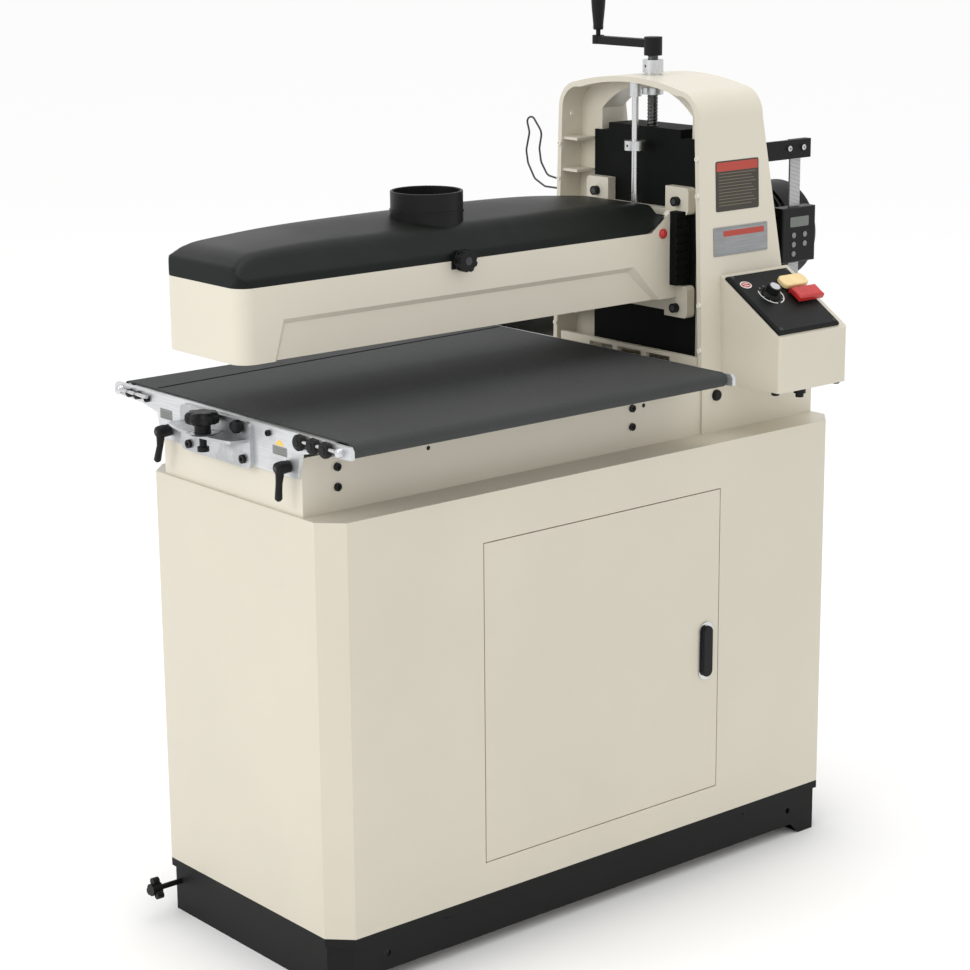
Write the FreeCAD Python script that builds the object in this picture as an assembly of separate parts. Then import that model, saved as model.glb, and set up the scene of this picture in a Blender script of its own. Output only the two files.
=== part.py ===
import FreeCAD, Part
import math
import os

# Open-ended drum sander on a closed cabinet stand. Millimetres, +Z up, the operator's side towards -Y.
# X runs along the drum, from the open end of the arm (-X) to the motor (+X). Y is the feed direction.
# Sizes are written from the cabinet's centre line and the floor; every piece is moved along X at the end
# by frame_shift, which puts the origin under the middle of the whole machine.

V = FreeCAD.Vector
AX, AY, AZ = V(1, 0, 0), V(0, 1, 0), V(0, 0, 1)

# ---- overall ----
frame_shift = -22.0          # cabinet centre, measured from the machine's origin
stand_length = 960.0
stand_depth = 432.0
stand_height = 656.0
machine_y = 5.0              # centre line of drum, column and conveyor, behind the cabinet's own

# ---- stand ----
corner_chamfer = 30.0
skirt_height = 80.0
skirt_lip = 12.0
skirt_recess = 5.0
skirt_wall = 4.0
rail_clearance = 18.0        # floor to the underside of the long skirt rails
foot_length = 62.0
foot_pad = 88.0
anchor_hole_r = 5.5
anchor_inset = 52.0
caster_hole_r = 4.5
caster_hole_x = 392.0
caster_hole_z = 42.0
sheet = 2.0
door_left = -223.0
door_right = 228.0
door_bottom = 127.0
door_top = 588.0
door_gap = 1.5
door_pan_depth = 18.0
door_frame_depth = 24.0
door_stop_width = 16.0
pin_r = 1.5
pin_inset = 6.5
pin_setback = 4.0
pin_length = 3.0
shelf_height = 330.0
plate = 3.0
latch_x = 200.0
latch_z = 346.0
latch_plate_width = 28.0
latch_plate_height = 88.0
latch_lever_width = 19.0
latch_lever_height = 78.0
latch_pivot_rise = 26.0
spindle_r = 5.0
side_knob_y = 172.0
side_knob_z = 46.0
side_rod_r = 4.0
side_knob_reach = 52.0

# ---- bed frame and column base ----
frame_left = -476.0
base_left = 243.0
frame_right = 477.0
frame_top = 735.0
frame_half_depth = 162.0
frame_wall = 4.0
base_proud = 3.0
base_wall = 8.0
pocket_left = 270.0
pocket_right = 350.0
pocket_half_depth = 116.0
frame_screw_columns = (-420.0, 105.0)
frame_screw_rows = (688.0, 715.0)

# ---- column ----
column_top = 1167.0
column_shoulder = 1112.0
column_half_foot = 164.0
column_half_shoulder = 150.0
column_skin = 8.0
column_width_foot = 195.0
column_width_top = 132.0
web_left = 284.0
web_right = 328.0
way_half = 97.0              # half the clear width between the ways
running_fit = 0.05
rib_levels = (800.0, 900.0, 1016.0, 1064.0)
rib = 4.0

# ---- head ----
drum_x0, drum_x1 = -478.0, 162.0
drum_z = 911.0
drum_r = 63.5
drum_wall = 6.0
wrap = 0.8
shaft_r = 10.0
head_travel = 74.0
arm_left = -513.0
arm_right = 264.0
arm_front = -82.0
arm_rear = 98.0
arm_bottom = 848.0
arm_top = 947.5
arm_wall = 10.0
arm_end_wall = 8.0
arm_corner = 24.0
flange = 15.0                # root flange thickness
carriage_bottom = 755.0
carriage_top = 1080.0
cap_top = 1092.0
ear_half = 110.0
ear_bolt_half = 87.0
ear_bolt_high = 990.0
ear_bolt_low = 832.0
cover_right = 239.0
cover_wall = 3.0
hinge_y = 104.0
hinge_z = 950.0
hinge_columns = (-400.0, 120.0)
port_x = -136.0
port_r = 50.8
port_bore = 47.0
port_top = 1034.0
port_bead = 1005.5
latch_knob_x = -148.0
latch_knob_z = 948.0
latch_knob_r = 15.5
press_r = 8.0
press_half = 52.0
press_z = 853.5
journal_r = 4.0
motor_left = 340.0
motor_right = 580.0
motor_r = 77.0
motor_barrel_r = 70.0

# ---- lift ----
screw_x = 296.0
screw_r = 8.0
screw_bottom = 930.0
screw_top = 1222.0
crank_reach = 120.0
grip_bottom = 1227.0
grip_top = 1303.0
rod_x, rod_y = 256.0, 0.0
rod_r = 5.0

# ---- conveyor ----
belt_left = -471.0
belt_right = 189.0
belt_top = 771.0
belt_thickness = 2.0
roller_half = 257.0
roller_inner_r = 8.5         # inside radius of the belt's turn
roller_gap = 0.3
rail_left_face = -482.0
rail_right_face = 192.0
rail = 6.0
bed_sheet = 3.0
lever_half = 141.0
lever_z = 734.0
shelf_reach = 40.0
shelf_z = 740.0
dial_x, dial_y = -513.0, 15.0
dial_r = 24.0
lock_y, lock_z = -38.0, 760.0

# ---- control box ----
box_left = 283.0
box_right = 425.0
box_front = -276.0
box_bottom = 729.0
box_front_top = 810.0
box_rear_top = 886.0
box_rear = -155.0
box_wall = 3.0
speed_x, speed_v = 333.0, 84.0
paddle_x, paddle_v = 388.0, 76.0

hx, hy = stand_length / 2, stand_depth / 2
out = {}


# ---------------------------------------------------------------- helpers
def box(x0, x1, y0, y1, z0, z1):
    return Part.makeBox(x1 - x0, y1 - y0, z1 - z0, V(x0, y0, z0))


def rod(p, axis, r, length):
    return Part.makeCylinder(r, length, p, axis)


def cone(p, axis, r0, r1, length):
    return Part.makeCone(r0, r1, length, p, axis)


def tube(p, axis, r_out, r_in, length):
    return rod(p, axis, r_out, length).cut(rod(p, axis, r_in, length))


def join(first, *rest):
    return first.fuse(list(rest)).removeSplitter() if rest else first


def prism(points, direction):
    """A closed prism. Points are vectors, or (through, end) pairs for an arc to the end point."""
    edges = []
    here = points[0]
    for item in list(points[1:]) + [points[0]]:
        if isinstance(item, tuple):
            edges.append(Part.Arc(here, item[0], item[1]).toShape())
            here = item[1]
        elif here.distanceToPoint(item) > 1e-6:
            edges.append(Part.makeLine(here, item))
            here = item
    return Part.Face(Part.Wire(edges)).extrude(direction)


def in_yz(points, x0, x1):
    def at(p):
        return tuple(at(q) for q in p) if isinstance(p[0], tuple) else V(x0, p[0], p[1])
    return prism([at(p) for p in points], V(x1 - x0, 0, 0))


def in_xz(points, y0, y1):
    def at(p):
        return tuple(at(q) for q in p) if isinstance(p[0], tuple) else V(p[0], y0, p[1])
    return prism([at(p) for p in points], V(0, y1 - y0, 0))


def in_xy(points, z0, z1):
    def at(p):
        return tuple(at(q) for q in p) if isinstance(p[0], tuple) else V(p[0], p[1], z0)
    return prism([at(p) for p in points], V(0, 0, z1 - z0))


def stadium_xz(x, z, width, height, y0, y1):
    """An upright slot shape with round ends, across the thickness y0 to y1."""
    r, s = width / 2, (height - width) / 2
    return in_xz([(x - r, z - s), (x + r, z - s), (x + r, z + s), (x - r, z + s)], y0, y1).fuse(
        [rod(V(x, y0, z - s), AY, r, y1 - y0), rod(V(x, y0, z + s), AY, r, y1 - y0)]).removeSplitter()


def chamfered(inset, z0, z1):
    """The stand's plan, drawn in from its outer faces by inset."""
    x, y = hx - inset, hy - inset
    c = corner_chamfer - inset * (2 - math.sqrt(2))
    return in_xy([(-x + c, -y), (x - c, -y), (x, -y + c), (x, y - c),
                  (x - c, y), (-x + c, y), (-x, y - c), (-x, -y + c)], z0, z1)


def button_screw(p, axis, head_r, head_h, shank_r, shank_l):
    """A round-headed screw: p is where the head meets the face, axis points out of the face."""
    head = rod(p, axis, head_r, head_h)
    socket = rod(p + axis * (head_h * 0.5), axis, head_r * 0.45, head_h)
    return head.fuse(rod(p - axis * shank_l, axis, shank_r, shank_l)).cut(socket)


def put(name, shape):
    solids = shape.Solids
    shape = solids[0] if len(solids) == 1 else Part.makeCompound(solids)
    shape.translate(V(frame_shift, 0, 0))
    out[name] = shape


# ---------------------------------------------------------------- stand
def base_skirt():
    wall = chamfered(skirt_recess, 0, skirt_height - skirt_lip).cut(
        chamfered(skirt_recess + skirt_wall, 0, skirt_height - skirt_lip))
    lip = chamfered(0, skirt_height - skirt_lip, skirt_height).cut(
        chamfered(skirt_recess + skirt_wall, skirt_height - skirt_lip, skirt_height))
    inside = chamfered(skirt_recess + skirt_wall, 0, skirt_wall)
    pads = []
    for sx in (-1, 1):
        for sy in (-1, 1):
            xs, ys = sorted((sx * hx, sx * (hx - foot_pad))), sorted((sy * hy, sy * (hy - foot_pad)))
            pads.append(box(xs[0], xs[1], ys[0], ys[1], 0, skirt_wall).common(inside))
    skirt = join(wall, lip, *pads)
    reach = hx - foot_length
    gap = in_xz([(-reach, -1), (-reach + rail_clearance, rail_clearance),
                 (reach - rail_clearance, rail_clearance), (reach, -1)], -hy - 1, hy + 1)
    skirt = skirt.cut(gap)
    holes = []
    for sx in (-1, 1):
        for sy in (-1, 1):
            holes.append(rod(V(sx * (hx - anchor_inset), sy * (hy - anchor_inset), -1), AZ, anchor_hole_r, 8))
            holes.append(rod(V(sx * caster_hole_x, sy * hy, caster_hole_z), AY * -sy, caster_hole_r, 15))
    holes.append(rod(V(-hx - 1, side_knob_y, side_knob_z), AX, side_rod_r + running_fit, 20))
    return skirt.cut(holes)


def wrap_panels():
    ring = chamfered(0, skirt_height, stand_height).cut(chamfered(sheet, skirt_height, stand_height))
    put("left_end_panel", ring.common(box(-hx, door_left, -hy, hy, skirt_height, stand_height)))
    put("right_end_panel", ring.common(box(door_right, hx, -hy, hy, skirt_height, stand_height)))


def front_panel():
    y0, y1 = -hy, -hy + sheet
    back = y0 + door_frame_depth
    top = box(door_left, door_right, y0, y1, door_top, stand_height)
    bottom = box(door_left, door_right, y0, y1, skirt_height, door_bottom)
    floor, ceiling = skirt_height + plate, stand_height - plate
    jambs = [box(door_left - sheet, door_left, y1 + 0.5, back, floor, ceiling),
             box(door_right, door_right + sheet, y1 + 0.5, back, floor, ceiling)]
    head = box(door_left, door_right, y1, back, door_top, door_top + sheet)
    sill = box(door_left, door_right, y1, back, door_bottom - sheet, door_bottom)
    stop = box(door_left, door_right, back - sheet, back, door_bottom, door_top).cut(
        box(door_left + door_stop_width, door_right - door_stop_width, back - sheet, back,
            door_bottom + door_stop_width, door_top - door_stop_width))
    frame = join(top, bottom, head, sill, stop, *jambs)
    hole = rod(V(door_left + door_gap + pin_inset, y0 + pin_setback, door_bottom - 4), AZ,
               pin_r + running_fit, door_top - door_bottom + 8)
    return frame.cut(hole)


def rear_panel():
    skin = box(door_left, door_right, hy - sheet, hy, skirt_height, stand_height)
    floor, ceiling = skirt_height + plate, stand_height - plate
    edges = [box(door_left, door_left + sheet, hy - 16, hy - sheet, floor, ceiling),
             box(door_right - sheet, door_right, hy - 16, hy - sheet, floor, ceiling)]
    return join(skin, *edges)


def cabinet_shelves():
    floor = chamfered(sheet, skirt_height, skirt_height + plate)
    front = -hy + door_frame_depth + 4
    shelf = box(-hx + sheet, hx - sheet, front, hy - 16, shelf_height, shelf_height + plate).common(
        chamfered(sheet, shelf_height, shelf_height + plate))
    lip = box(-hx + sheet, hx - sheet, front, front + sheet, shelf_height - 20, shelf_height).common(
        chamfered(sheet, shelf_height - 20, shelf_height))
    return Part.makeCompound([floor, join(shelf, lip)])


def cabinet_door():
    x0, x1 = door_left + door_gap, door_right - door_gap
    z0, z1 = door_bottom + door_gap, door_top - door_gap
    y0 = -hy
    pan = box(x0, x1, y0, y0 + door_pan_depth, z0, z1).cut(
        box(x0 + sheet, x1 - sheet, y0 + sheet, y0 + door_pan_depth, z0 + sheet, z1 - sheet))
    px, py = x0 + pin_inset, y0 + pin_setback
    pins = [rod(V(px, py, z0 - pin_length), AZ, pin_r, pin_length + sheet / 2),
            rod(V(px, py, z1 - sheet / 2), AZ, pin_r, pin_length + sheet / 2)]
    door = join(pan, *pins)
    spindle = rod(V(latch_x, y0 - 1, latch_z + latch_pivot_rise), AY, spindle_r + running_fit, sheet + 2)
    return door.cut(spindle)


def latch():
    y0 = -hy
    pivot = V(latch_x, y0 - 3, latch_z + latch_pivot_rise)
    plate_shape = stadium_xz(latch_x, latch_z, latch_plate_width, latch_plate_height, y0 - 2.5, y0)
    put("latch_plate", plate_shape.cut(rod(pivot, AY, spindle_r + running_fit, 6)))
    handle = stadium_xz(latch_x, latch_z, latch_lever_width, latch_lever_height, y0 - 8, y0 - 2.8)
    handle = handle.makeFillet(1.6, [e for e in handle.Edges if abs(e.BoundBox.YMax - (y0 - 8)) < 1e-6])
    spindle = rod(V(latch_x, y0 - 4, pivot.z), AY, spindle_r, door_frame_depth + 8)
    cam_y = y0 + door_frame_depth + 1
    cam = box(latch_x - 6, latch_x + 6, cam_y, cam_y + 3, pivot.z - 6, pivot.z + 26)
    put("latch_lever", join(handle, spindle, cam))


def side_knob():
    x0 = -hx + skirt_recess
    stem = rod(V(x0 - side_knob_reach, side_knob_y, side_knob_z), AX, side_rod_r, side_knob_reach + 18)
    knob_x = x0 - side_knob_reach
    hub = rod(V(knob_x, side_knob_y, side_knob_z), AX, 9, 16)
    wings = []
    for turn in (90, 210, 330):
        a = math.radians(turn)
        c = V(knob_x + 3, side_knob_y + 12 * math.cos(a), side_knob_z + 12 * math.sin(a))
        wings.append(rod(c, AX, 5.5, 10))
    nut = rod(V(x0 + skirt_wall + 1, side_knob_y, side_knob_z), AX, 8, 6)
    return join(stem, hub, nut, *wings)


def stand():
    put("base_skirt", base_skirt())
    wrap_panels()
    put("front_panel", front_panel())
    put("rear_panel", rear_panel())
    put("cabinet_top", chamfered(sheet, stand_height - plate, stand_height))
    put("cabinet_shelves", cabinet_shelves())
    put("cabinet_door", cabinet_door())
    latch()
    put("side_knob", side_knob())


# ---------------------------------------------------------------- bed frame, column base
def bed_frame():
    y0, y1 = machine_y - frame_half_depth, machine_y + frame_half_depth
    shell = box(frame_left, base_left, y0, y1, stand_height, frame_top).cut(
        box(frame_left + frame_wall, base_left - frame_wall, y0 + frame_wall, y1 - frame_wall,
            stand_height + frame_wall, frame_top - frame_wall))
    holes = []
    for x in frame_screw_columns:
        for z in frame_screw_rows:
            holes.append(rod(V(x, y0 - 1, z), AY, 3 + running_fit, frame_wall + 2))
            holes.append(rod(V(x, y1 + 1, z), AY * -1, 3 + running_fit, frame_wall + 2))
    for s in (-1, 1):
        holes.append(rod(V(frame_left - 1, machine_y + s * lever_half, lever_z - 12), AX,
                         journal_r + running_fit, frame_wall + 2))
    return shell.cut(holes)


def column_base():
    half = frame_half_depth + base_proud
    y0, y1 = machine_y - half, machine_y + half
    body = box(base_left, frame_right, y0, y1, stand_height, frame_top).cut(
        box(base_left + base_wall, frame_right - base_wall, y0 + base_wall, y1 - base_wall,
            stand_height, frame_top - base_wall))
    pocket = box(pocket_left, pocket_right, machine_y - pocket_half_depth, machine_y + pocket_half_depth,
                 frame_top - base_wall - 1, frame_top + 1)
    return body.cut(pocket)


def frame_screws():
    """Frame screws front and rear, index bracket screws and rail bolts."""
    y0, y1 = machine_y - frame_half_depth, machine_y + frame_half_depth
    screws = []
    for x in frame_screw_columns:
        for z in frame_screw_rows:
            screws.append(button_screw(V(x, y0, z), AY * -1, 5.5, 3, 3, 10))
            screws.append(button_screw(V(x, y1, z), AY, 5.5, 3, 3, 10))
    face = rail_left_face - rail
    for y, z in ((-43.0, 716.0), (85.0, 714.0)):
        screws.append(button_screw(V(face, y, z), AX * -1, 6, 4, 3, 4))
    return Part.makeCompound(screws)


# ---------------------------------------------------------------- column
def column_outline(inset):
    """Half-round arch outline in Y and Z, drawn in from the outer face by inset."""
    foot, shoulder = column_half_foot - inset, column_half_shoulder - inset
    crown = column_top - inset
    bend = inset * 0.7
    knee = (shoulder - 38, crown - 13.5)
    mid = (column_half_shoulder - 10 - bend, column_shoulder + 27 - bend)
    y = machine_y
    return [(y - foot, frame_top), (y - shoulder, column_shoulder),
            ((y - mid[0], mid[1]), (y - knee[0], knee[1])),
            ((y, crown), (y + knee[0], knee[1])),
            ((y + mid[0], mid[1]), (y + shoulder, column_shoulder)),
            (y + foot, frame_top)]


def column_side():
    """Side silhouette in X and Z: the motor side leans in towards the top."""
    x0 = base_left
    return [(x0, frame_top), (x0 + column_width_foot, frame_top),
            (x0 + column_width_top, column_shoulder), (x0 + column_width_top, column_top + 10),
            (x0, column_top + 10)]


def column():
    span = base_left + column_width_foot
    side = in_xz(column_side(), machine_y - 200, machine_y + 200)
    outer = in_yz(column_outline(0), base_left, span)
    inner = in_yz(column_outline(column_skin), base_left - 1, span + 1)
    skin = outer.cut(inner)
    web = in_yz(column_outline(column_skin / 2), web_left, web_right)
    window = in_yz([(machine_y - way_half, frame_top - 1), (machine_y - way_half, column_shoulder),
                    ((machine_y, column_top - 15), (machine_y + way_half, column_shoulder)),
                    (machine_y + way_half, frame_top - 1)], web_left - 1, web_right + 1)
    web = web.cut(window)
    inner_side = way_half + 16
    ribs = []
    for z in rib_levels:
        slab = box(base_left + 4, web_left, machine_y + inner_side, machine_y + 160, z, z + rib)
        ribs.append(slab.common(in_yz(column_outline(column_skin / 2), base_left, web_left)))
    for z in (860.0, 960.0, 1060.0):
        slab = box(web_right, base_left + 110, machine_y - 160, machine_y + 160, z, z + rib)
        slab = slab.cut(box(web_right, base_left + 110, machine_y - inner_side - 10,
                            machine_y + inner_side + 10, z - 1, z + 9))
        ribs.append(slab.common(in_yz(column_outline(column_skin / 2), web_right, span)))
    foot = in_yz(column_outline(column_skin / 2), base_left, span).common(
        box(base_left, span, machine_y - 200, machine_y + 200, frame_top, frame_top + 10))
    foot = foot.cut(box(base_left + 20, span + 1, machine_y - pocket_half_depth,
                        machine_y + pocket_half_depth, frame_top - 1, frame_top + 11))
    bar = box(base_left + 4, base_left + 12, machine_y - 150, machine_y + 150, frame_top, frame_top + 32)
    for y in (-92.0, -30.0, 32.0):
        bar = bar.cut(box(base_left, base_left + 20, machine_y + y, machine_y + y + 52,
                          frame_top + 12, frame_top + 26))
    boss = rod(V(screw_x, machine_y, column_top - column_skin - 10), AZ, 22, 14)
    body = join(skin, web, foot, bar, boss, *ribs).common(side)
    cuts = [rod(V(screw_x, machine_y, column_top - 40), AZ, 12, 60),
            rod(V(base_left + 20, machine_y + 135, 1102), AY, 4, 40)]
    for y, z in cover_screw_places():
        cuts.append(rod(V(base_left - 1, y, z), AX, 1.6, 12))
    return body.cut(cuts)


def skin_y(z, side):
    """Mid-thickness of the column's skin at height z, on the front (-1) or rear (+1)."""
    lean = (column_half_foot - column_half_shoulder) / (column_shoulder - frame_top)
    return machine_y + side * (column_half_foot - lean * (z - frame_top) - column_skin / 2)


def cover_screw_places():
    return [(skin_y(z, side), z) for z in (780.0, 846.0, 1005.0, 1058.0) for side in (-1, 1)]


def column_hardware():
    put("cover_screws", Part.makeCompound(
        [button_screw(V(base_left, y, z), AX * -1, 3.4, 2.2, 1.6, 9) for y, z in cover_screw_places()]))
    rod_foot = screw_bottom + 5
    put("stop_rod", rod(V(rod_x, rod_y, rod_foot), AZ, rod_r, 1150 - rod_foot))
    clamp = tube(V(rod_x, rod_y, 1138), AZ, 9, rod_r, 12)
    clamp = join(clamp, rod(V(rod_x, rod_y, 1150), AZ, 9, 1158.4 - 1150))
    stop = tube(V(rod_x, rod_y, 1059), AZ, 16, rod_r, 14).cut(rod(V(rod_x - 20, rod_y, 1066), AX, 2, 15))
    depth = tube(V(screw_x, machine_y, column_top + 3), AZ, 15.5, screw_r + running_fit, 19)
    depth = depth.cut(rod(V(screw_x - 20, machine_y, column_top + 13), AX, 2, 10))
    put("rod_collars", Part.makeCompound([clamp, stop, depth]))
    sleeve = rod(V(screw_x, machine_y, column_top - 29), AZ, 12, 32)
    ring = rod(V(screw_x, machine_y, column_top - 29), AZ, 16, 10)
    bearing = join(sleeve, ring).cut(rod(V(screw_x, machine_y, column_top - 30), AZ, screw_r + running_fit, 60))
    put("screw_bearing", bearing)


def scale():
    y_back = skin_y(1056, -1) + column_skin / 2
    bracket = join(box(350, 486, y_back, y_back + 6, 1042, 1070), box(448, 486, y_back + 6, -127, 1042, 1070))
    bracket = join(bracket, box(350, 382, y_back - column_skin / 4, y_back + 6, 1046, 1066))
    bracket = bracket.cut(out_column_unshifted())
    put("scale_bracket", bracket)
    put("scale_bar", box(455, 477, -127, -124, 858, 1062))


def out_column_unshifted():
    shape = out["column"].copy()
    shape.translate(V(-frame_shift, 0, 0))
    return shape


def round_path(points, r):
    """Straight runs joined by arcs of radius r at the corners."""
    edges, start = [], points[0]
    for before, corner, after in zip(points, points[1:], points[2:]):
        a, b = (before - corner).normalize(), (after - corner).normalize()
        half = a.getAngle(b) / 2
        reach = min(r / math.tan(half), 0.45 * min(before.distanceToPoint(corner), after.distanceToPoint(corner)))
        p, q = corner + a * reach, corner + b * reach
        bis = (a + b).normalize()
        centre = corner + bis * (reach / math.cos(half))
        mid = centre - bis * (reach * math.tan(half))
        edges.append(Part.makeLine(start, p))
        edges.append(Part.Arc(p, mid, q).toShape())
        start = q
    edges.append(Part.makeLine(start, points[-1]))
    return Part.Wire(edges)


def hose_hook():
    x = base_left + 19
    wall = skin_y(990, 1) + column_skin / 2
    outline = [(wall - 0.5, 985), (209, 985), (233, 995), (249, 1018), (253, 1038), (245, 1066),
               (252, 1086), (238, 1092), (216, 1068), (222, 1043), (218, 1022), (203, 1003), (wall - 0.5, 997)]
    path = round_path([V(x, y, z) for y, z in outline], 14)
    first = path.Edges[0]
    disc = Part.Wire(Part.makeCircle(1.5, first.Vertexes[0].Point, AY))
    wire = path.makePipeShell([disc], True, True)
    pad = box(x - 7, x + 7, wall - 1.5, wall + 4, 978, 1004)
    return join(wire, pad).cut(out_column_unshifted())


# ---------------------------------------------------------------- drum head
def carriage():
    y = machine_y
    lip = ear_half - 2
    front = box(arm_right + flange, web_left - 0.2, y - lip, y + lip, carriage_bottom, carriage_top)
    slide = way_half - running_fit
    core = box(arm_right + flange, web_right, y - slide, y + slide, carriage_bottom, carriage_top)
    back = box(web_right + 0.2, motor_left, y - lip, y + lip, carriage_bottom, carriage_top)
    bridge = box(web_right, web_right + 0.2, y - slide, y + slide, carriage_bottom, carriage_top)
    cap = box(arm_right + flange, motor_left, y - 77, y + 77, carriage_top, cap_top)
    drive_cover = box(250, arm_right + flange, y - 102, y - 85, 868, 976)
    for z in range(880, 970, 12):
        drive_cover = drive_cover.cut(box(249, 274, y - 103, y - 100, z, z + 5))
    body = join(front, core, bridge, back, cap, drive_cover)
    body = body.cut([rod(V(screw_x, y, screw_bottom - 120), AZ, screw_r + running_fit, 400),
                     rod(V(200, y, drum_z), AX, shaft_r + 4, 200)])
    bolts = [rod(V(arm_right, y + s * ear_bolt_half, z), AX, 4, flange + 12) for s, z in ear_bolts()]
    return body.cut(bolts)


def ear_bolts():
    return [(-1, ear_bolt_high), (1, ear_bolt_high), (-1, ear_bolt_low), (1, ear_bolt_low)]


def arm_plan(inset, left_inset):
    """Arm plan in X and Y: round corners at the open end."""
    r = arm_corner - inset
    k = r * (1 - math.sqrt(0.5))
    x0, y0, y1 = arm_left + left_inset, arm_front + inset, arm_rear - inset
    return [(arm_right, y0), (arm_right, y1), (x0 + r, y1), ((x0 + k, y1 - k), (x0, y1 - r)),
            (x0, y0 + r), ((x0 + k, y0 + k), (x0 + r, y0))]


def side_recess(y, grow):
    """Wire of the sunk side panel's outline at depth y, drawn out by grow."""
    pts = [(-456 - grow, arm_bottom - 1), (-441 - grow, 898 + grow), (174 + grow, 898 + grow),
           (226 + grow, arm_bottom - 1)]
    return Part.makePolygon([V(px, y, pz) for px, pz in pts + pts[:1]])


def arm_casting():
    y = machine_y
    shell = in_xy(arm_plan(0, 0), arm_bottom, arm_top).cut(
        in_xy(arm_plan(arm_wall, arm_end_wall), arm_bottom, arm_top))
    inside = (arm_front + arm_wall, arm_rear - arm_wall)
    deck = box(205, arm_right, inside[0], inside[1], arm_top - 8, arm_top)
    floor = box(200, arm_right, inside[0], inside[1], arm_bottom, arm_bottom + 8)
    bulkhead = box(200, 210, inside[0], inside[1], arm_bottom, arm_top)
    web = in_xz([(213, arm_top), (252, 977), (arm_right, 977), (arm_right, arm_top)],
                arm_front, arm_front + arm_wall)
    web_back = in_xz([(213, arm_top), (252, 977), (arm_right, 977), (arm_right, arm_top)],
                     arm_rear - arm_wall, arm_rear)
    x0, x1 = arm_right, arm_right + flange
    root = box(x0, x1, y - 80, y + 80, 826, 977)
    ears = []
    for s in (-1, 1):
        for z0, z1 in ((977 - 6, 1011), (818, 866)):
            ys = sorted((y + s * 62, y + s * ear_half))
            ear = box(x0, x1, ys[0], ys[1], z0, z1)
            ears.append(ear.makeFillet(7, [e for e in ear.Edges if e.Length < flange + 0.1
                                           and abs(e.CenterOfMass.y - (y + s * ear_half)) < 0.1]))
    hinges = []
    for x in hinge_columns:
        for s in (-1, 1):
            xs = sorted((x + s * 15.2, x + s * 22))
            hinges.append(rod(V(xs[0], hinge_y, hinge_z), AX, 5.4, xs[1] - xs[0]))
            hinges.append(box(xs[0], xs[1], hinge_y - 5, hinge_y + 5.4, 926, hinge_z))
            hinges.append(box(xs[0], xs[1], arm_rear - 1, hinge_y + 5.4, 926, arm_top - 3))
        hinges.append(rod(V(x - 22, hinge_y, hinge_z), AX, 3, 44))
    stud_boss = box(latch_knob_x - 13, latch_knob_x + 13, arm_front, arm_front + 6, 930, latch_knob_z + 7)
    body = join(shell, deck, floor, bulkhead, web, web_back, root, stud_boss, *ears, *hinges)
    recess = Part.makeLoft([side_recess(arm_front - 0.01, 4), side_recess(arm_front + 7, -3.5)], True, True)
    cuts = [recess,
            rod(V(190, y, drum_z), AX, shaft_r + 8, 110),
            rod(V(rod_x, rod_y, arm_top - 20), AZ, rod_r + 1.5, 40),
            rod(V(latch_knob_x, arm_front - 1, latch_knob_z), AY, journal_r + running_fit, arm_wall + 2),
            box(249.7, x1 + 1, y - 105, y - 84.9, 867.7, 976.3)]
    cuts += [rod(V(x0 - 1, y + s * ear_bolt_half, z), AX, 4, flange + 2) for s, z in ear_bolts()]
    return body.cut(cuts)


def cover_sides(inset):
    """Dust cover silhouette in X and Z: crowned along the arm."""
    t = inset
    return [(arm_left + t, arm_top), (arm_left + 6 + t, 971), (-480 + t, 986 - t),
            ((-130, 1004.5 - t), (cover_right - t, 985 - t)), (cover_right - t, 972), (213 - t, arm_top)]


def cover_section(inset):
    """Dust cover section in Y and Z: bevelled front and rear."""
    t = inset
    return [(arm_front + t, arm_top), (arm_front + 2 + t, 956), (-45 + t * 0.7, 990 - t), (62, 1004.5 - t),
            (86 - t * 0.7, 998 - t), (arm_rear - t, 962), (arm_rear - t, arm_top)]


def dust_cover():
    full = in_xz(cover_sides(0), arm_front - 5, arm_rear + 5).common(
        in_yz(cover_section(0), arm_left - 5, arm_right))
    plan = in_xy(arm_plan(0, 0), arm_top, 1010)
    full = full.common(plan)
    hollow = in_xz(cover_sides(cover_wall), arm_front - 5, arm_rear + 5).common(
        in_yz(cover_section(cover_wall), arm_left - 5, arm_right)).common(
        in_xy(arm_plan(cover_wall, cover_wall), arm_top - 1, 1010))
    shell = full.cut(hollow)
    kx, kz = latch_knob_x, latch_knob_z
    shell = shell.cut(box(kx - 13.3, kx + 13.3, arm_front - 1, arm_front + 6.3, arm_top - 1, kz + 7.3))
    lip = join(box(kx - 16, kx + 16, arm_front - 3, arm_front, kz - 12, kz + 14),
               box(kx - 16, kx + 16, arm_front - 3, arm_front + 7, kz + 7.3, kz + 14))
    lip = lip.cut([rod(V(kx, arm_front - 5, kz), AY, journal_r + 0.8, 6),
                   box(kx - journal_r - 0.8, kx + journal_r + 0.8, arm_front - 5, arm_front + 1, kz - 13, kz)])
    knuckles = []
    for x in hinge_columns:
        knuckles.append(rod(V(x - 15, hinge_y, hinge_z), AX, 5.4, 30))
        knuckles.append(box(x - 15, x + 15, arm_rear - cover_wall, hinge_y, hinge_z + 1, hinge_z + 5.4))
    body = join(shell, lip, *knuckles)
    cuts = [rod(V(x - 20, hinge_y, hinge_z), AX, 3 + running_fit, 40) for x in hinge_columns]
    cuts.append(rod(V(port_x, machine_y, 960), AZ, port_r, 80))
    return body.cut(cuts)


def dust_port():
    foot_z = 978.0
    collar = tube(V(port_x, machine_y, foot_z), AZ, port_r, port_bore, port_top - foot_z)
    collar = collar.makeFillet(1.2, [e for e in collar.Edges if e.BoundBox.ZMin > port_top - 0.1])
    foot = tube(V(port_x, machine_y, foot_z), AZ, port_r + 4, port_r - 1, 2.5)
    bead = tube(V(port_x, machine_y, port_bead), AZ, port_r + 1.2, port_r - 1, 3)
    return join(collar, foot, bead)


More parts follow.
